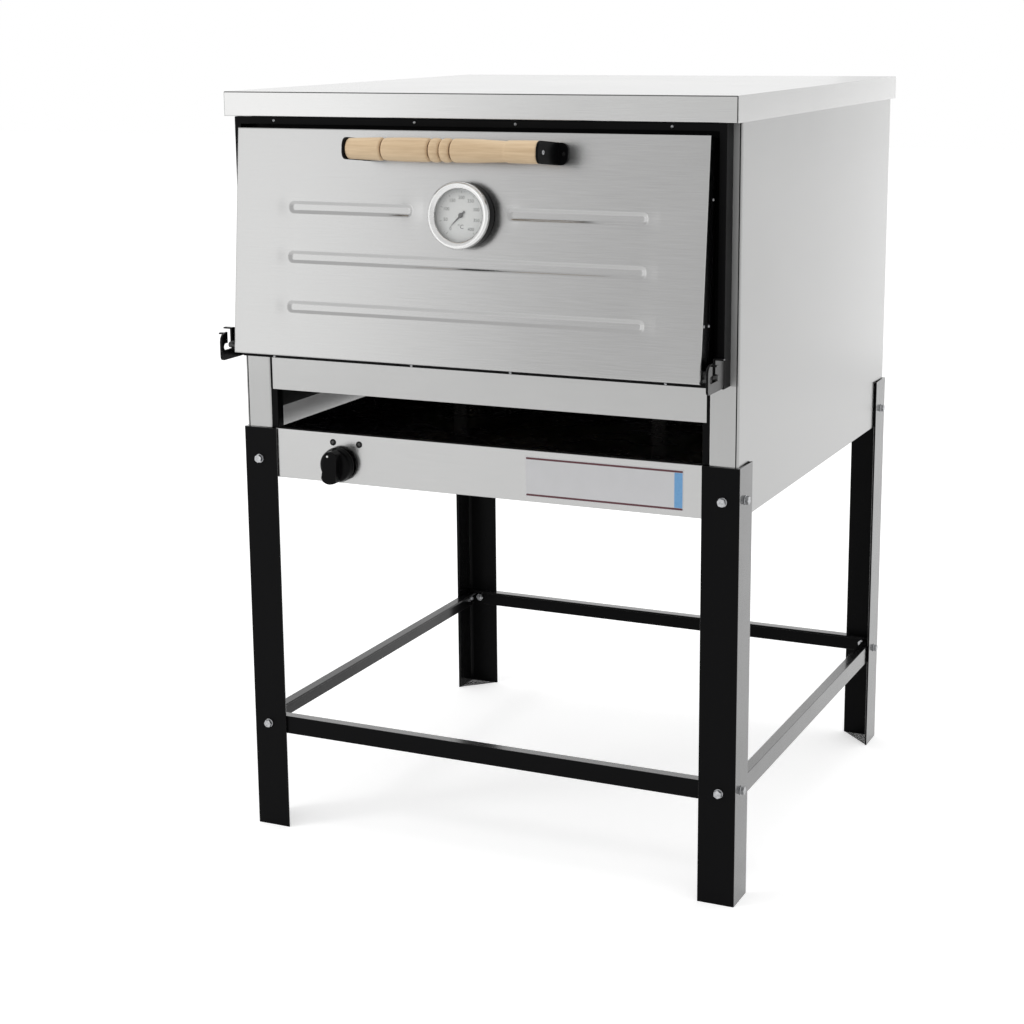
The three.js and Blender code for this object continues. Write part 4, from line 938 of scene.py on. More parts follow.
# %% Flat sheets of the casing
CASING_SHEETS = {"front_header": 1.5, "apron": 0.4, "burner_panel": 1.2, "back_panel": 1.0}
for node, fold in CASING_SHEETS.items():
    finish = "panel_steel" if node == "burner_panel" else "steel_X"
    piece = softened(node, finish, "casing", fold=fold)
    print(node, len(piece.data.polygons), "faces")

# %% [markdown]
# The burner panel carries a plain pale plate with a thin line along its upper and lower edge
# and a plain band at its right end, and two dark sight glasses above the knob, which say
# when the burner has lit. The plate is foil: it is only a third of a millimetre thick, and
# its corners are slightly round.

# %% Plate and sight glasses of the burner panel
PLATE_LEFT, PLATE_RIGHT = 64.6, 276.4
PLATE_LOW, PLATE_HIGH = 508.2, 559.6
PLATE_SHEET, LINE_SHEET, BAND_SHEET = 0.3, 0.38, 0.36
LINE_WIDTH = 2.5
panel_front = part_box("burner_panel")[0].y / MM
plate_at = place((0, panel_front, 0), RIGHT)


def foil(name, left, right, bottom, top, sheet, finish, radius=0.4):
    outline = rectangle(left, bottom, right, top, radius)
    show(name, cut_out(outline, 0, sheet, plate_at, 0.1), finish, "casing")


foil("burner_plate", PLATE_LEFT, PLATE_RIGHT, PLATE_LOW, PLATE_HIGH, PLATE_SHEET, "foil", 1.0)
for name, bottom in (("low", PLATE_LOW + 0.8), ("high", PLATE_HIGH - 0.8 - LINE_WIDTH)):
    foil("burner_plate_line_" + name, PLATE_LEFT + 0.6, PLATE_RIGHT - 0.6, bottom, bottom + LINE_WIDTH,
         LINE_SHEET, "red_line")
foil("burner_plate_band", PLATE_RIGHT - 11.5, PLATE_RIGHT - 0.8, PLATE_LOW + 3.6, PLATE_HIGH - 3.6,
     BAND_SHEET, "blue_band")
SIGHT_GLASSES = {"left": (-215.5, 555.3), "right": (-176.2, 555.2)}
for name, (x, z) in SIGHT_GLASSES.items():
    at = place((x, panel_front, z), RIGHT)
    collar = turned([(0, -3), (4.4, -3), (4.4, 0.5), (4.0, 0.9), (3.1, 0.9), (2.7, 0.3), (0, 0.25)], at, 32)
    lens = turned([(0, 0.2), (2.7, 0.2), (2.3, 0.75), (1.4, 1.1), (0, 1.2)], at, 32)
    show("sight_collar_" + name, collar, "plastic", "casing")
    show("sight_lens_" + name, lens, "lens", "casing")
print("plate is", round(PLATE_RIGHT - PLATE_LEFT), "by", round(PLATE_HIGH - PLATE_LOW), "mm")

# %% [markdown]
# The burner is lit through a slot above its panel. Inside, each side wall carries a dark
# strip at the slot's height, which is painted shade: it keeps the slot's ends dark from the
# front. Behind, the back panel is held by a column of round-headed screws on each side.

# %% Dark strips of painted shade beside the lighting slot
SHADE_STRIP_LOW, SHADE_STRIP_HIGH = 580, 647
SHADE_STRIP_SHEET = 0.8
SHADE_STRIP_FRONT_INSET, SHADE_STRIP_BACK_INSET = 20, 6
for side, sign in SIDES.items():
    low, high = box_mm("side_panel_" + side)
    wall = max(abs(low.x), abs(high.x)) - SHEET
    at = place((sign * (wall - 0.2), 0, 0), ACROSS["left" if sign > 0 else "right"])
    start, end = sorted(-sign * y for y in (low.y + SHADE_STRIP_FRONT_INSET, high.y - SHADE_STRIP_BACK_INSET))
    # a dark strip on the wall: painted shade at the slot's ends
    strip = cut_out(rectangle(start, SHADE_STRIP_LOW, end, SHADE_STRIP_HIGH, 1), 0, SHADE_STRIP_SHEET, at, 0.1)
    show("slot_painted_shade_" + side, strip, "frame", "casing")
print("painted shade strips are", SHADE_STRIP_HIGH - SHADE_STRIP_LOW, "mm high")

# %% Screws of the back panel
BACK_SCREW_ROWS = 4
BACK_SCREW_FOOT, BACK_SCREW_TOP, BACK_SCREW_INSET = 90, 60, 5
low, high = box_mm("back_panel")
back_flange = box_mm("side_panel_right")[1].y
row_step = (high.z - low.z - BACK_SCREW_FOOT - BACK_SCREW_TOP) / (BACK_SCREW_ROWS - 1)
spots = [place((sign * (high.x - BACK_SCREW_INSET), back_flange, low.z + BACK_SCREW_FOOT + row * row_step),
               ACROSS["back"]) for sign in SIDES.values() for row in range(BACK_SCREW_ROWS)]
screws("back_panel_screws", 3.6, 2.2, spots, "zinc", "casing")
print(len(spots), "screws hold the back panel")

# %% [markdown]
# ## Black steel of the stand and the door opening
#
# The braces, posts, frame, seat and hinge brackets are powder coated after they are cut, so
# their edges are dull under the coat. These nodes already have the right shape, and a copy
# with rounded edges is enough. The frame is held by small screws, one row along the middle
# of its upper lip and one low on its lower lip. Neither row is evenly spaced.

# %% Braces, posts, frame, seat and hinge brackets
BLACK_STEEL = ["brace_front", "brace_back", "brace_left", "brace_right", "slot_post_left",
               "slot_post_right", "door_frame", "door_seat", "hinge_bracket_left", "hinge_bracket_right"]
for node in BLACK_STEEL:
    thin = "bracket" in node or node == "brace_left"
    finish = "thin_powder" if thin else "powder" if "brace" in node else "frame"
    softened(node, finish, "casing", edge=0.5 if "bracket" in node else 0.4)
print(len(BLACK_STEEL), "black pieces with dulled edges")

# %% Screws of the door frame
FRAME_LIP = 9
FOOT_SCREW_RISE = 2.3
FRAME_SCREWS_TOP = (-276, -73, 65, 267)
FRAME_SCREWS_FOOT = (-287, -84, 55, 261)
low, high = box_mm("door_frame")
rows = ((FRAME_SCREWS_TOP, high.z - FRAME_LIP / 2), (FRAME_SCREWS_FOOT, low.z + FOOT_SCREW_RISE))
spots = [place((x, low.y, z), RIGHT) for row, z in rows for x in row]
screws("door_frame_screws", 1.9, 1.2, spots, "zinc", "casing")
print(len(spots), "frame screws")

# %% [markdown]
# ## Door
#
# The skin of the door is one thin sheet with four beads pressed into it, which keep it flat
# when the oven is hot. A pressed bead has no sharp line anywhere: the die lets the sheet
# slide round its edges. A boolean would leave hard edges, so the skin is a grid whose lines
# are close together at the beads and wide apart elsewhere. Each grid point asks how far it
# is inside a bead's outline, and sinks by a smooth step of that distance. The press also
# pulls the sheet down a little round the ends of a bead, and that is added as a shallow dimple.

# %% How deep the skin is pressed at a point
BEAD_HALF = 8
BEAD_CORNER = 6.6
BEAD_RELIEF = 2.2
BEAD_SLOPE = 4.4
BEAD_LEFT_MARGIN = 79
BEAD_RIGHT_MARGIN = 73.5
BEAD_INNER = 65
BEAD_ROW_RISE = 3
LOWER_ROW_SHARES = (0.8726, 0.4363)
PUCKER = 0.8
PUCKER_REACH = 17
dial_points = in_door("thermometer_dial")
DIAL_X, DIAL_Z = (sum(extent(dial_points, axis)) / 2 for axis in (0, 1))
BEZEL_RADIUS = max(hypot(p.x - DIAL_X, p.y - DIAL_Z) for p in in_door("thermometer_bezel"))
bead_left = BEAD_LEFT_MARGIN - DOOR_HALF_WIDTH
bead_right = DOOR_HALF_WIDTH - BEAD_RIGHT_MARGIN
first_row = DIAL_Z + BEAD_ROW_RISE
lower_rows = [share * (DIAL_Z - BEZEL_RADIUS) for share in LOWER_ROW_SHARES]
beads = [(bead_left, -BEAD_INNER, first_row), (BEAD_INNER, bead_right, first_row)]
beads += [(bead_left, bead_right, row) for row in lower_rows]


def pressed(x, z):
    """How far the sheet lies behind the door's flat face, in millimetres."""
    depth = 0.0
    for left, right, row in beads:
        across = abs(x - (left + right) / 2) - (right - left) / 2 + BEAD_CORNER
        upward = abs(z - row) - BEAD_HALF + BEAD_CORNER
        outside = hypot(max(across, 0), max(upward, 0)) + min(max(across, upward), 0) - BEAD_CORNER
        share = min(max(-outside / BEAD_SLOPE, 0), 1)
        depth = max(depth, BEAD_RELIEF * share * share * (3 - 2 * share))
        for end in (left, right):
            away = hypot(x - end, (z - row) * 1.3) / PUCKER_REACH
            depth += PUCKER * exp(-away * away) * (1 - share)
    return depth


print("bead rows at", [round(row) for _, _, row in beads], "mm up the door")

# %% Door skin
SKIN_SHEET = 1.0
SKIN_RETURN = 4
RIM = [(0.0, SKIN_RETURN), (0.0, 1.4), (0.18, 0.7), (0.7, 0.18), (1.4, 0.0)]


def grid_lines(low, high, coarse, marks, fine, reach):
    """Grid lines from low to high: coarse apart, and fine apart within reach of each mark."""
    count = round((high - low) / coarse)
    lines = [low + k * (high - low) / count for k in range(count + 1)]
    steps = round(reach / fine)
    near = [mark + k * fine for mark in marks for k in range(-steps, steps + 1)]
    far = [line for line in lines if all(abs(line - mark) > reach + fine for mark in marks)]
    return sorted({round(line, 3) for line in near + far})


def with_rim(lines, end):
    """Adds the folded rim at both ends: pairs of a place and the depth there."""
    *fold, (inset, flat) = RIM
    middle = [(line, flat) for line in (inset, *lines, end - inset)]
    return fold + middle + [(end - out, depth) for out, depth in fold[::-1]]


bead_ends = sorted({round(x + DOOR_HALF_WIDTH, 3) for left, right, _ in beads for x in (left, right)})
bead_rows = sorted({round(row, 3) for _, _, row in beads})
columns = with_rim(grid_lines(DOOR_HALF_WIDTH - 310, DOOR_HALF_WIDTH + 310, 24, bead_ends, 1.6, 16),
                   2 * DOOR_HALF_WIDTH)
levels = with_rim(grid_lines(8, DOOR_HEIGHT - 8, 12, bead_rows, 1.0, 12), DOOR_HEIGHT)
rows = []
for height, end_rim in levels:
    row = []
    for across, side_rim in columns:
        x = across - DOOR_HALF_WIDTH
        row.append((x, height, -max(end_rim, side_rim) - pressed(x, height)))
    rows.append(row)
skin = bmesh.new()
patch(skin, rows, DOOR)
bmesh.ops.remove_doubles(skin, verts=skin.verts, dist=0.001 * MM)
show("door_skin_pressed", skin, "door_steel", "door", ["door_skin"], 50, SKIN_SHEET)
print("door skin grid:", len(columns), "by", len(levels), "lines")

# %% Liner, its side screws and the insulation
LINER_SCREWS = ((216, 23), (68, 8), (68, 26))
softened("door_liner", "powder", "door", edge=0.4)
softened("door_insulation", "wool", "door", edge=2.5)
liner_half = extent(in_door("door_liner"), 0)[1]
spots = [place((DOOR @ Vector((sign * liner_half, height, -depth))) / MM, door_in * sign, door_up)
         for sign in SIDES.values() for height, depth in LINER_SCREWS]
screws("door_side_screws", 1.9, 1.1, spots, "zinc", "door")
print(len(spots), "screws hold the liner in the skin")

# %% [markdown]
# ## Handle
#
# The grip was turned on a lathe from a pale wood: three sections with round shoulders, and two
# round beads between them at the middle. Every groove here gets a thin dark brown ring, which
# darkens it. The outline is drawn as distances along the grip with the radius there, and a
# curve runs through the points as a skew chisel would leave it. Two black brackets hold the
# grip. Each is a thick strip with a round nose, turned out into a foot on the door, and a
# screw runs through it into the wood.

# %% Grip
GRIP_SIDES = 64
GRIP_OUTLINE = [
    (0, 11.6), (1, 12.4), (3, 12.7), (20, 13.3), (38, 13.9), (44, 14.1), (46, 13.8), (47, 12.8), (47.6, 11.2),
    (48.4, 10.7), (49.2, 11.2), (49.8, 12.6), (51.5, 13.5), (56, 13.9), (79, 14.5), (105, 14.5), (109.5, 14.3),
    (111.2, 13.3), (112.2, 11.4), (113, 10.9), (113.8, 11.4), (114.6, 13), (116.4, 14.2), (119.8, 14.7),
    (123.4, 14.2), (125.6, 13), (126.6, 11.3), (127.3, 10.8), (128, 11.3), (129, 13), (131.2, 14.2),
    (134.6, 14.7), (138, 14.2), (140, 13.1), (141, 11.4), (141.8, 10.9), (142.6, 11.4), (143.5, 13.1),
    (145, 14), (149, 14.3), (174, 14.1), (195, 13.2), (208, 12.7), (212.5, 12.5), (214.5, 12.9), (218, 13.4),
    (235, 13.7), (252, 13.8), (255, 13.4), (256, 12.7),
]
DARKENED_GROOVES = (48.4, 113, 127.3, 141.8)
GROOVE = [(-1, -1.5), (0.75, -1.1), (0.2, -0.4), (0.2, 0.4), (0.75, 1.1), (-1, 1.5), (-1, -1.5)]
grip_length = GRIP_OUTLINE[-1][0]
grip_points = in_door("handle_grip")
grip_y, grip_out = (sum(extent(grip_points, axis)) / 2 for axis in (1, 2))
grip_at = across_door(extent(grip_points, 0)[0], grip_y, grip_out)
grip_largest = (grip_at.translation.y - frame_low.y) / MM
grip_curve = smooth_outline([(radius, along) for along, radius in GRIP_OUTLINE])
grip_curve = [(min(radius, grip_largest), along) for radius, along in grip_curve]
grip = turned([(0, 0), *grip_curve, (0, grip_length)], grip_at, GRIP_SIDES)
show("handle_grip_turned", grip, "wood", "door", ["handle_grip"], smooth_angle=35)
# a thin dark brown ring lies in each groove and darkens it
groove_dark = []
for along in DARKENED_GROOVES:
    bottom = dict(GRIP_OUTLINE)[along]
    groove_dark.append(turned([(bottom + out, along + step) for out, step in GROOVE], grip_at, GRIP_SIDES))
show("handle_grip_groove_dark_rings", together(*groove_dark), "groove_dark_wood", "door", smooth_angle=35)
print("grip is", grip_length, "mm long and", round(2 * grip_largest, 1), "mm thick at most")

# %% Handle brackets
BRACKET_SHEET = 3
BRACKET_HALF = 13.5
BRACKET_NOSE = 9
BRACKET_FOOT = 12
FOOT_CORNER = 9
OFF_DOOR = 0.3
FOOT_SCREW_OUT = 6.5


def strip_of_bracket(length, corner, at):
    """A strip across the handle's height, with round corners at its far end."""
    outline = rounded([(0, -BRACKET_HALF, 0.5), (length, -BRACKET_HALF, corner),
                       (length, BRACKET_HALF, corner), (0, BRACKET_HALF, 0.5)], 8)
    return cut_out(outline, 0, BRACKET_SHEET, at, 0.7, 3)


for side, sign in SIDES.items():
    node = "handle_bracket_" + side
    inner = min(abs(p.x) for p in in_door(node))
    outer = inner + BRACKET_SHEET
    foot_at = on_door(sign * inner, grip_y, OFF_DOOR)
    arm_at = foot_at @ Matrix(((0, 0, sign, 0), (0, 1, 0, 0), (1, 0, 0, 0), (0, 0, 0, 1)))
    arm = strip_of_bracket(grip_out + BRACKET_HALF, BRACKET_NOSE, arm_at)
    foot = strip_of_bracket(sign * (BRACKET_SHEET + BRACKET_FOOT), FOOT_CORNER, foot_at)
    show(node + "_formed", together(arm, foot), "plastic", "door", [node])
    screws("handle_screw_" + side, 2.9, 1.8, [across_door(sign * outer, grip_y, grip_out, sign)],
           "zinc", "door")
    screw_at = on_door(sign * (outer + FOOT_SCREW_OUT), grip_y, OFF_DOOR + BRACKET_SHEET)
    screws("handle_foot_screw_" + side, 2.6, 1.5, [screw_at], "powder", "door")
print("handle stands", round(grip_out), "mm off the door")

# %% [markdown]
# ## Thermometer
#
# It is a dial gauge: a black case with a stem through the door, a pale dial, a needle on a
# hub, a flat glass, and a satin ring that is spun over the case to hold the glass. The ring's
# outline is drawn as an arc outside and a longer slope inside. The dial's scale is generic:
# numbers from 0 to 400 in steps of 50, fine ticks between them, and the sign for degrees.

# %% Case, ring and glass
RING_SEAT, RING_SHOULDER, RING_CROWN = 18.3, 18.6, 22.6
RING_BACK, RING_CURVE, RING_SLOPE = 17, 0.36, 0.54
RING_OPENING = 32.5
CASE_RADIUS = 40.2
STEM_RADIUS, STEM_PITCH = 4.5, 1.2
dial_at = on_door(DIAL_X, DIAL_Z)
band = BEZEL_RADIUS - RING_OPENING
ring = [(CASE_RADIUS + 0.3, RING_BACK), (BEZEL_RADIUS - 0.3, RING_BACK), (BEZEL_RADIUS, RING_BACK + 0.3),
        (BEZEL_RADIUS, RING_SHOULDER)]
for angle in QUARTER[1:]:
    ring.append((BEZEL_RADIUS - band * RING_CURVE * (1 - cos(angle)),
                 RING_SHOULDER + (RING_CROWN - RING_SHOULDER) * sin(angle)))
for share in (0.2, 0.4, 0.6, 0.8, 1.0):
    ring.append((BEZEL_RADIUS - band * (RING_CURVE + RING_SLOPE * share), RING_CROWN - 1.7 * share * share))
ring += [(RING_OPENING + 0.3, 20.3), (RING_OPENING, 19.6), (RING_OPENING, RING_SEAT),
         (CASE_RADIUS + 0.3, RING_SEAT), (CASE_RADIUS + 0.3, RING_BACK)]
stem_end = extent(in_door("thermometer_case"), 2)[0]
case = [(0, stem_end), (3.7, stem_end), (STEM_RADIUS, stem_end + 0.8), (STEM_RADIUS, -45), (STEM_RADIUS, -31)]
height = -31.0
while height < -20:
    case += [(STEM_RADIUS - 0.4, height + STEM_PITCH / 2), (STEM_RADIUS, height + STEM_PITCH)]
    height += STEM_PITCH
case += [(STEM_RADIUS, 0.3), (CASE_RADIUS - 1.2, 0.3), (CASE_RADIUS - 0.35, 0.65), (CASE_RADIUS, 1.5),
         (CASE_RADIUS, 17.6), (CASE_RADIUS - 0.4, 18), (37.7, 18), (37.7, 10), (1.5, 10), (1.5, 5), (0, 5)]
glass_disc = [(0, 15.7), (37.1, 15.7), (37.4, 16.0), (37.4, 17.4), (37.1, 17.7), (0, 17.7)]
dial_disc = [(1.5, 10.3), (37.2, 10.3), (37.4, 10.5), (37.4, 11.2), (37.3, 11.3), (1.5, 11.3), (1.5, 10.3)]
for name, outline, finish, slot_name, node in (
        ("thermometer_ring", ring, "satin", "polished", "thermometer_bezel"),
        ("thermometer_case_turned", case, "plastic", "black_paint", "thermometer_case"),
        ("thermometer_glass_turned", glass_disc, "glass", "glass", "thermometer_glass"),
        ("thermometer_dial_turned", dial_disc, "dial", "dial", "thermometer_dial")):
    show(name, turned(outline, dial_at, 96), finish, "door", [node])
print("ring is", round(2 * BEZEL_RADIUS), "mm across")

# %% Numbers and ticks
DIAL_FACE = 11.3
SCALE_START = 230
SCALE_SWEEP = 280
SCALE_STEPS = 8
NUMBER_RADIUS = 21.6
NUMBER_HEIGHT = 5.8
PRINT_SHEET = 0.06


def printed_text(words, x, y, size):
    """Flat letters on the dial, centred on x and y."""
    text = bpy.data.curves.new("print", "FONT")
    text.body, text.size = words, size
    text.align_x, text.align_y = "CENTER", "CENTER"
    text.resolution_u = 3
    text.extrude = PRINT_SHEET / 2
    holder = in_scene("print", text)
    bpy.context.view_layer.update()
    data = bpy.data.meshes.new_from_object(holder)
    bpy.data.objects.remove(holder)
    bpy.data.curves.remove(text)
    data.transform(dial_at @ Matrix.Translation((x, y, DIAL_FACE + PRINT_SHEET / 2)))
    letters = bmesh.new()
    letters.from_mesh(data)
    bpy.data.meshes.remove(data)
    return letters


def tick(angle, inner, outer, width):
    """A short printed line that points at the dial's centre."""
    spin = dial_at @ Matrix.Rotation(radians(angle), 4, "Z")
    return cut_out(rectangle(inner, -width / 2, outer, width / 2), DIAL_FACE, DIAL_FACE + PRINT_SHEET, spin)


prints = []
for step in range(SCALE_STEPS + 1):
    angle = SCALE_START - step * SCALE_SWEEP / SCALE_STEPS
    x, y = (NUMBER_RADIUS * f(radians(angle)) for f in (cos, sin))
    prints.append(printed_text(str(50 * step), x, y, NUMBER_HEIGHT))
    prints.append(tick(angle, 27.0, 30.0, 0.5))
for step in range(SCALE_STEPS * 5):
    if step % 5:
        prints.append(tick(SCALE_START - step * SCALE_SWEEP / SCALE_STEPS / 5, 28.6, 30.0, 0.25))
prints.append(printed_text("°C", 0, -14.0, 7.6))
show("dial_print", together(*prints), "mark", "door")
print("scale has", SCALE_STEPS + 1, "numbers and", SCALE_STEPS * 4, "fine ticks")

# %% Needle and the nut behind the door
NUT_ACROSS = 18
HUB_BASE = 12.4
softened("thermometer_needle", "mark", "needle", edge=0.12)
hub_at = on_door(DIAL_X, DIAL_Z, HUB_BASE)
hub = turned([(0, 0), (2.9, 0), (3.0, 0.2), (2.6, 0.9), (1.6, 1.3), (0, 1.4)], hub_at, 32)
show("needle_hub", hub, "dark_steel", "needle")
nut_low, nut_high = extent(in_door("thermometer_nut"), 2)
nut = hexagon(NUT_ACROSS, -nut_high, -nut_low, dial_at @ FLIPPED)
show("thermometer_nut_cut", nut, "zinc", "door", ["thermometer_nut"], smooth_angle=30)
print("nut is", round(nut_high - nut_low, 1), "mm thick")

# %% [markdown]
# ## Hinge pins, knob and valve
#
# A hinge pin is a short turned bar with a collar, and the door's weight rests on the two
# pins in the slots of the brackets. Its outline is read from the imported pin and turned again
# with more sides. The knob is moulded: a skirt, a round body and a bar to grip, all with
# soft edges, and a white spot near the bar's end that points to the setting.

# %% Hinge pins
for side, sign in SIDES.items():
    node = "hinge_pin_" + side
    points = in_door(node)
    middle_y, middle_z = (sum(extent(points, axis)) / 2 for axis in (1, 2))
    steps = sorted({round(abs(p.x), 2) for p in points})
    outline = [(0, steps[0])]
    for x in steps:
        found = sorted({round(hypot(p.y - middle_y, p.z - middle_z), 1) for p in points
                        if abs(abs(p.x) - x) < 0.02})
        found = [radius for radius in found if radius > 0.3]
        rising = outline[-1][0] < found[-1] - 0.3 and len(found) > 1
        outline += [(radius, x) for radius in (found if rising else found[::-1])]
    outline.append((0, steps[-1]))
    pin = turned(outline, across_door(0, middle_y, middle_z, sign), 32)
    round_edges(pin, sharp_edges(pin, 40), 0.25, 2)
    show(node + "_turned", pin, "dark_steel", "door", [node])
print("hinge pins are", round(2 * max(r for r, x in outline if x > steps[-3])), "mm thick in the slots")

# %% Knob
KNOB_TURN = radians(-7)
KNOB_X, _, KNOB_Z = (v / MM for v in joints["knob_turn"]["pos_m"])
knob_at = place((KNOB_X, panel_front, KNOB_Z), RIGHT) @ Matrix.Rotation(KNOB_TURN, 4, "Z")
knob_depth = panel_front - box_mm("control_knob")[0].y
skirt = [(0, 5), (22.4, 5), (23.2, 5.3), (23.5, 6.0), (23.5, 7.6), (23.1, 8.4), (22.8, 9.6), (22.5, 13.0),
         (21.9, 15.6), (20.6, 17.4), (18.4, 18.5), (15.0, 19.0), (0, 19.3)]
bar = rounded([(-11.2, -19.0, 4.0), (0, -23.0, 14.0), (11.2, -19.0, 4.0), (8.6, 19.6, 3.0), (0, 22.6, 8.0),
               (-8.6, 19.6, 3.0)], 6)
knob = together(turned(skirt, knob_at, 72), cut_out(bar, 9, knob_depth, knob_at, 1.8, 4))
show("control_knob_moulded", knob, "plastic", "knob", ["control_knob"], smooth_angle=50)
spot_at = knob_at @ Matrix.Translation((-4.6, 15.0, knob_depth))
spot = turned([(0, -0.3), (1.5, -0.3), (1.5, 0.1), (1.3, 0.22), (0, 0.25)], spot_at, 24)
show("knob_pointer_spot", spot, "white", "knob")
print("knob stands", round(knob_depth), "mm off the burner panel")

# %% Valve, spindle and plunger
for node, finish, body, slot_name in (("gas_valve", "brass", "casing", "brass"),
                                      ("valve_plunger", "brass", "plunger", "brass"),
                                      ("valve_spindle", "zinc", "knob", "zinc")):
    softened(node, finish, body, edge=0.4)
print("valve, plunger and spindle have machined edges")

# %% [markdown]
# ## Gas pipe, burner and rack
#
# The inlet pipe ends in a taper thread behind the oven, where a hose is screwed on. The
# burner is two steel tubes with rows of small ports in them, and it is blackened by heat.
# The rack is a wire rim bent round at its corners, with thinner wires welded across it.

# %% Inlet pipe
PIPE_RADIUS, PIPE_BORE, PIPE_BORE_DEPTH = 10.6, 8.0, 60
PIPE_PITCH, PIPE_THREAD, PIPE_TAPER = 1.8, 16, 0.03
PIPE_NUT, PIPE_NUT_THICK = 30, 8
low, high = box_mm("gas_inlet_pipe")
pipe_at = place(((low.x + high.x) / 2, 0, (low.z + high.z) / 2), ACROSS["back"])
collar_y = box_mm("back_panel")[1].y + 0.3
thread_start = high.y - PIPE_THREAD
outline = [(0, low.y), (PIPE_RADIUS - 0.4, low.y), (PIPE_RADIUS, low.y + 0.4), (PIPE_RADIUS, thread_start)]
height = thread_start
while height < high.y - 1.6:
    crest = PIPE_RADIUS - (height - thread_start) * PIPE_TAPER
    outline += [(crest - 0.9, height + PIPE_PITCH / 2), (crest, height + PIPE_PITCH)]
    height += PIPE_PITCH
outline += [(PIPE_RADIUS - 1.2, high.y), (PIPE_BORE, high.y), (PIPE_BORE - 0.2, high.y - 0.5),
            (PIPE_BORE - 0.2, high.y - PIPE_BORE_DEPTH), (0, high.y - PIPE_BORE_DEPTH)]
nut = hexagon(PIPE_NUT, collar_y, collar_y + PIPE_NUT_THICK, pipe_at)
pipe = together(turned(outline, pipe_at, 40), nut)
show("gas_inlet_pipe_threaded", pipe, "zinc", "casing", ["gas_inlet_pipe"], smooth_angle=30)
print("pipe reaches", round(high.y - collar_y), "mm out of the back panel")

# %% Burner ports
PORT_SPACING, PORT_START, PORT_MARGIN = 16, 24, 40
PORT_LEAN = radians(28)
PORT_SINK = 0.35
TUBE_RADIUS = 16
PORT = [(1.0, -0.6), (2.1, 0.0), (2.0, 0.5), (1.5, 0.7), (1.0, 0.45), (1.0, -0.6)]
softened("burner", "iron", "casing", edge=0.6)
low, high = box_mm("burner")
ports = []
for sign in SIDES.values():
    for lean in (-PORT_LEAN, PORT_LEAN):
        out = Vector((sin(lean), 0, cos(lean)))
        for k in range(int((high.y - low.y - PORT_MARGIN) / PORT_SPACING)):
            centre = Vector((sign * (high.x - TUBE_RADIUS), low.y + PORT_START + k * PORT_SPACING,
                             high.z - TUBE_RADIUS))
            at = place(centre + out * (TUBE_RADIUS - PORT_SINK), BACK.cross(out), BACK)
            ports.append(turned(PORT, at, 10))
show("burner_ports", together(*ports), "iron", "casing")
print(len(ports), "burner ports")

# %% Rack
RIM_RADIUS, RIM_CORNER = 3.0, 14
WIRE_RADIUS, WIRE_COUNT = 2.0, 13
WIRE_SIDES = 12
low, high = box_mm("oven_rack")
rack_z = (low.z + high.z) / 2
half, front, back = high.x - RIM_RADIUS / 2, low.y + RIM_RADIUS, high.y - RIM_RADIUS


def bent_wire(path, radius):
    """A closed wire that lies flat, along points (x, y) at the rack's height."""
    mesh = bmesh.new()
    rings = []
    for k, point in enumerate(path):
        before = (point - path[k - 1]).normalized()
        after = (path[(k + 1) % len(path)] - point).normalized()
        sideways = Vector((before.y + after.y, -before.x - after.x)).normalized()
        ring = []
        for spoke in range(WIRE_SIDES):
            angle = 2 * pi * spoke / WIRE_SIDES
            x, y = point + sideways * radius * cos(angle)
            ring.append(mesh.verts.new(Vector((x, y, rack_z + radius * sin(angle))) * MM))
        rings.append(ring)
    join_rings(mesh, [rings[-1], *rings])
    return mesh


def straight_wire(at, radius, start, end, sides):
    return turned([(0, start), (radius, start), (radius, end), (0, end)], at, sides)


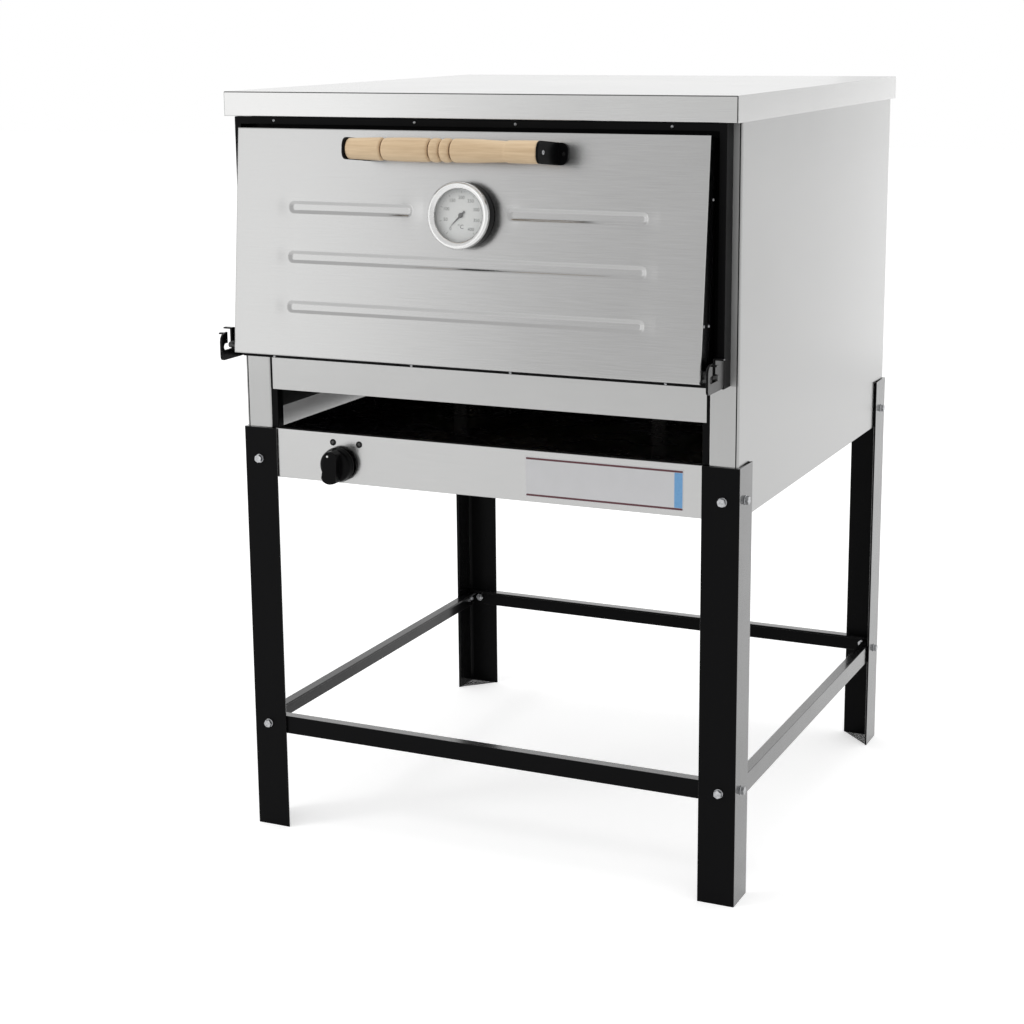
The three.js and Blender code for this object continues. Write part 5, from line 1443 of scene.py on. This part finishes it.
wires = [bent_wire(rectangle(-half, front, half, back, RIM_CORNER, 6), RIM_RADIUS)]
for k in range(1, WIRE_COUNT + 1):
    at = place((-half + 2 * half * k / (WIRE_COUNT + 1), 0, rack_z), ACROSS["back"])
    wires.append(straight_wire(at, WIRE_RADIUS, front, back, 10))
middle = place((0, (front + back) / 2, rack_z), ACROSS["right"])
wires.append(straight_wire(middle, RIM_RADIUS, -half, half, WIRE_SIDES))
show("oven_rack_wires", together(*wires), "satin", "casing", ["oven_rack"])
print("rack has", WIRE_COUNT, "wires in its rim")

# %% [markdown]
# ## Inside of the oven
#
# The chamber is enamelled sheet, with mineral wool between it and the casing, and two
# fired-clay slabs for a floor. A slab's edges crumble a little, and a wool pad has no sharp
# edge at all, so each kind gets its own rounding.

# %% Chamber, rails, slabs and insulation
INSIDE = {
    "enamel": ("enamel", ["floor_rail_left", "floor_rail_right", "floor_rail_front", "floor_rail_back",
                          "heat_shield", "chamber_wall_left", "chamber_wall_right", "chamber_roof",
                          "chamber_back", "rack_runner_left", "rack_runner_right"]),
    "slab": ("refractory", ["floor_slab_left", "floor_slab_right"]),
    "wool": ("wool", ["insulation_left", "insulation_right", "insulation_top", "insulation_back"]),
}
for finish, (slot_name, nodes) in INSIDE.items():
    for node in nodes:
        softened(node, finish, "casing", edge={"slab": 1.5, "wool": 2.5}.get(finish, 0.3))
print("inside pieces:", sum(len(nodes) for slot_name, nodes in INSIDE.values()))

# %% Finishes on the nodes still shown, and the last line
NODE_FINISHES = {
    "stainless": "steel_X", "polished": "satin", "zinc": "zinc", "black_paint": "powder",
    "black_plastic": "plastic", "enamel": "enamel", "wood": "wood", "dial": "dial", "glass": "glass",
    "refractory": "slab", "wool": "wool", "cast_iron": "iron", "brass": "brass",
}
node_slots = {part["node"]: part["material_slot"] for part in frame["record"]["subparts"]}
for name, node in frame["nodes"].items():
    node.data.materials.clear()
    node.data.materials.append(finishes[NODE_FINISHES[node_slots[name]]])
still_shown = [name for name, node in frame["nodes"].items() if not node.hide_render]
print(len(still_shown), "nodes shown as packed:", still_shown)
low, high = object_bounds()
print("box in mm:", [round(v / MM, 1) for v in high - low])
